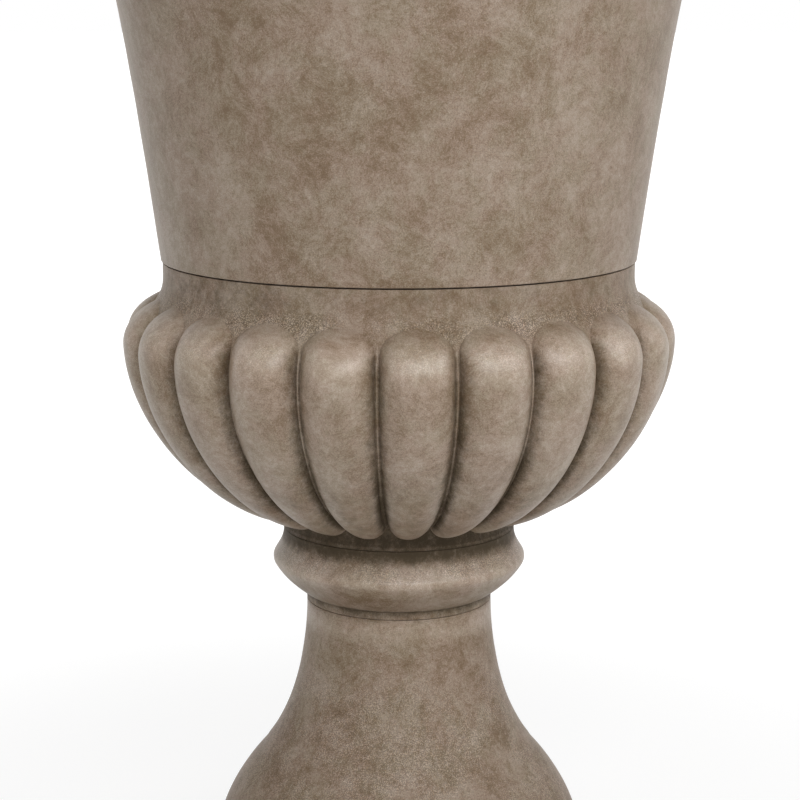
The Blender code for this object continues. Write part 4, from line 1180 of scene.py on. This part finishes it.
def make_wing_nut(top, metal):
    """Cast wing nut: a bored hub with two rounded wings that point down."""
    low = top - NUT_HEIGHT
    hole = BOLT_HOLE
    wide = NUT_RADIUS
    hub = [(hole, top - SMALL_EASE), (hole + SMALL_EASE, top), (wide - 0.0004, top),
           (wide, top - 0.0004)]
    hub += bezier((wide, top - 0.001), (wide * 0.95, low + NUT_HEIGHT * 0.5),
                  (wide * 0.85, low + 0.002), (wide * 0.78, low + 0.0004), 8)
    hub += [(wide * 0.72, low), (hole + SMALL_EASE, low), (hole, low + SMALL_EASE)]
    nut = turned("fine_wing_nut", hub, 64)
    tip = WING_SPAN / 2
    inner = (wide + hole) / 2
    outline = [(inner, top - NUT_HEIGHT * 0.25), (tip * 0.75, top - NUT_HEIGHT * 0.45),
               (tip, low - (WING_HEIGHT - NUT_HEIGHT) * 0.5), (tip * 0.86, top - WING_HEIGHT),
               (tip * 0.6, top - WING_HEIGHT * 0.85), (inner, low + NUT_HEIGHT * 0.1)]
    for side in (-1, 1):
        bm = bmesh.new()
        corners = [bm.verts.new((side * x, -WING_THICKNESS / 2, z)) for x, z in outline]
        grown = bmesh.ops.extrude_face_region(bm, geom=[bm.faces.new(corners)])["geom"]
        bmesh.ops.translate(bm, verts=[g for g in grown if isinstance(g, bmesh.types.BMVert)],
                            vec=(0, WING_THICKNESS, 0))
        bmesh.ops.recalc_face_normals(bm, faces=bm.faces)
        bmesh.ops.bevel(bm, geom=bm.edges[:], offset=0.0009, segments=4, profile=0.5,
                        affect="EDGES")
        combine(nut, mesh_object("wing", bm), "UNION")
    dress(nut, metal, "zinc_steel", "wing_nut")


def make_plugs():
    """Moulded rubber plugs with a rounded pull knob over a flange."""
    low = FLOOR_LOW - FLOOR_TOP - PLUG_OVERHANG
    high = PLUG_HEIGHT
    wide = PLUG_KNOB_RADIUS
    neck = PLUG_NECK_RADIUS
    stem = DRAIN_RADIUS - TOUCH_GAP
    flange = TOUCH_GAP + PLUG_FLANGE_THICKNESS
    knob = high * PLUG_KNOB_LOW
    profile = [(PIN_RADIUS, high)]
    profile += bezier((wide * 0.5, high), (wide * 0.9, high), (wide, high * 0.93),
                      (wide, high * 0.82), 8)
    profile += bezier((wide, knob * 1.04), (wide, knob * 0.93), (neck + 0.0008, knob * 0.9),
                      (neck, knob * 0.8), 8)
    profile += bezier((neck, flange + 0.0012), (neck, flange + 0.0003), (neck + 0.0003, flange),
                      (neck + 0.0012, flange), 5)
    profile += corner(PLUG_FLANGE_RADIUS, flange, 0.0005, 90, 0, 4)
    profile += [(PLUG_FLANGE_RADIUS, TOUCH_GAP + SMALL_EASE),
                (PLUG_FLANGE_RADIUS - SMALL_EASE, TOUCH_GAP), (stem, TOUCH_GAP),
                (stem, low + PLUG_OVERHANG + 0.0008), (stem, low + PLUG_OVERHANG),
                (stem * PLUG_TAPER, low), (PIN_RADIUS, low)]
    mat = rubber("rubber_plug", 7)
    for number, place in enumerate(ring(DRAIN_CIRCLE, FLOOR_TOP, DRAIN_COUNT, -math.pi / 2), 1):
        raised = [(r, z + place.z) for r, z in profile]
        plug = turned(f"fine_plug_{number}", raised, SMALL_COLUMNS, closed=False,
                      centre=(place.x, place.y))
        dress(plug, mat, "black_rubber", f"drain_plug_{number}", body=f"plug_{number}")


# Studio


def light_rays(n):
    """1 where the camera, a reflection or a view through glass looks, else 0."""
    path = n.add("ShaderNodeLightPath")
    seen = path.outputs["Is Camera Ray"]
    for kind in ("Is Glossy Ray", "Is Transmission Ray"):
        seen = n.math("MAXIMUM", seen, path.outputs[kind])
    return seen


def make_floor():
    """A plain pale floor, white to the camera far off and with the urn's soft shadow near it."""
    bm = bmesh.new()
    bmesh.ops.create_circle(bm, cap_ends=True, segments=64, radius=FLOOR_RADIUS)
    floor = mesh_object("floor", bm)
    floor.location.z = -FLOOR_DROP
    link(floor)
    n = Nodes(bpy.data.materials.new("floor"))
    n.tree.nodes.clear()
    place = n.add("ShaderNodeTexCoord").outputs["Object"]
    away = n.add("ShaderNodeVectorMath", operation="LENGTH", Vector=place)
    far = n.spread(away.outputs["Value"], FLOOR_NEAR, FLOOR_FAR, FLOOR_GLOW)
    seen = light_rays(n)
    colour = n.mix(seen, (FLOOR_BOUNCE,) * 3, (FLOOR_SHADE,) * 3)
    paint = n.add("ShaderNodeBsdfDiffuse", Color=colour)
    glow = n.add("ShaderNodeEmission", Color=WHITE, Strength=FLOOR_WHITE)
    shown = n.blend(n.scaled(seen, far), paint, glow)
    n.add("ShaderNodeOutputMaterial", Surface=shown)
    floor.data.materials.append(n.owner)


def make_world():
    """Even light from all round, white where the camera or a reflection sees it."""
    n = Nodes(bpy.data.worlds.new("studio"))
    bpy.context.scene.world = n.owner
    n.tree.nodes.clear()
    light = n.add("ShaderNodeBackground", Color=WHITE, Strength=WORLD_LIGHT)
    white = n.add("ShaderNodeBackground", Color=WHITE, Strength=1.0)
    n.add("ShaderNodeOutputWorld", Surface=n.blend(light_rays(n), light, white))


def make_lamp(name, place, aim_height, wide, high, power):
    """A softbox aimed at a point on the urn's axis."""
    data = bpy.data.lights.new(name, "AREA")
    data.shape = "RECTANGLE"
    data.size = wide
    data.size_y = high
    data.energy = power
    lamp = bpy.data.objects.new(name, data)
    lamp.location = place
    aim = Vector((0, 0, aim_height)) - Vector(place)
    lamp.rotation_mode = "QUATERNION"
    lamp.rotation_quaternion = aim.to_track_quat("-Z", "Y")
    link(lamp)


make_camera()
make_floor()
make_world()
for lamp in LAMPS:
    make_lamp(*lamp)
make_pedestal()
make_feet()
make_collar()
make_bowl()
make_bell()
make_seal()
make_screws()
make_tie_bolt()
make_plugs()

view = bpy.context.scene.view_settings
view.view_transform = "Standard"
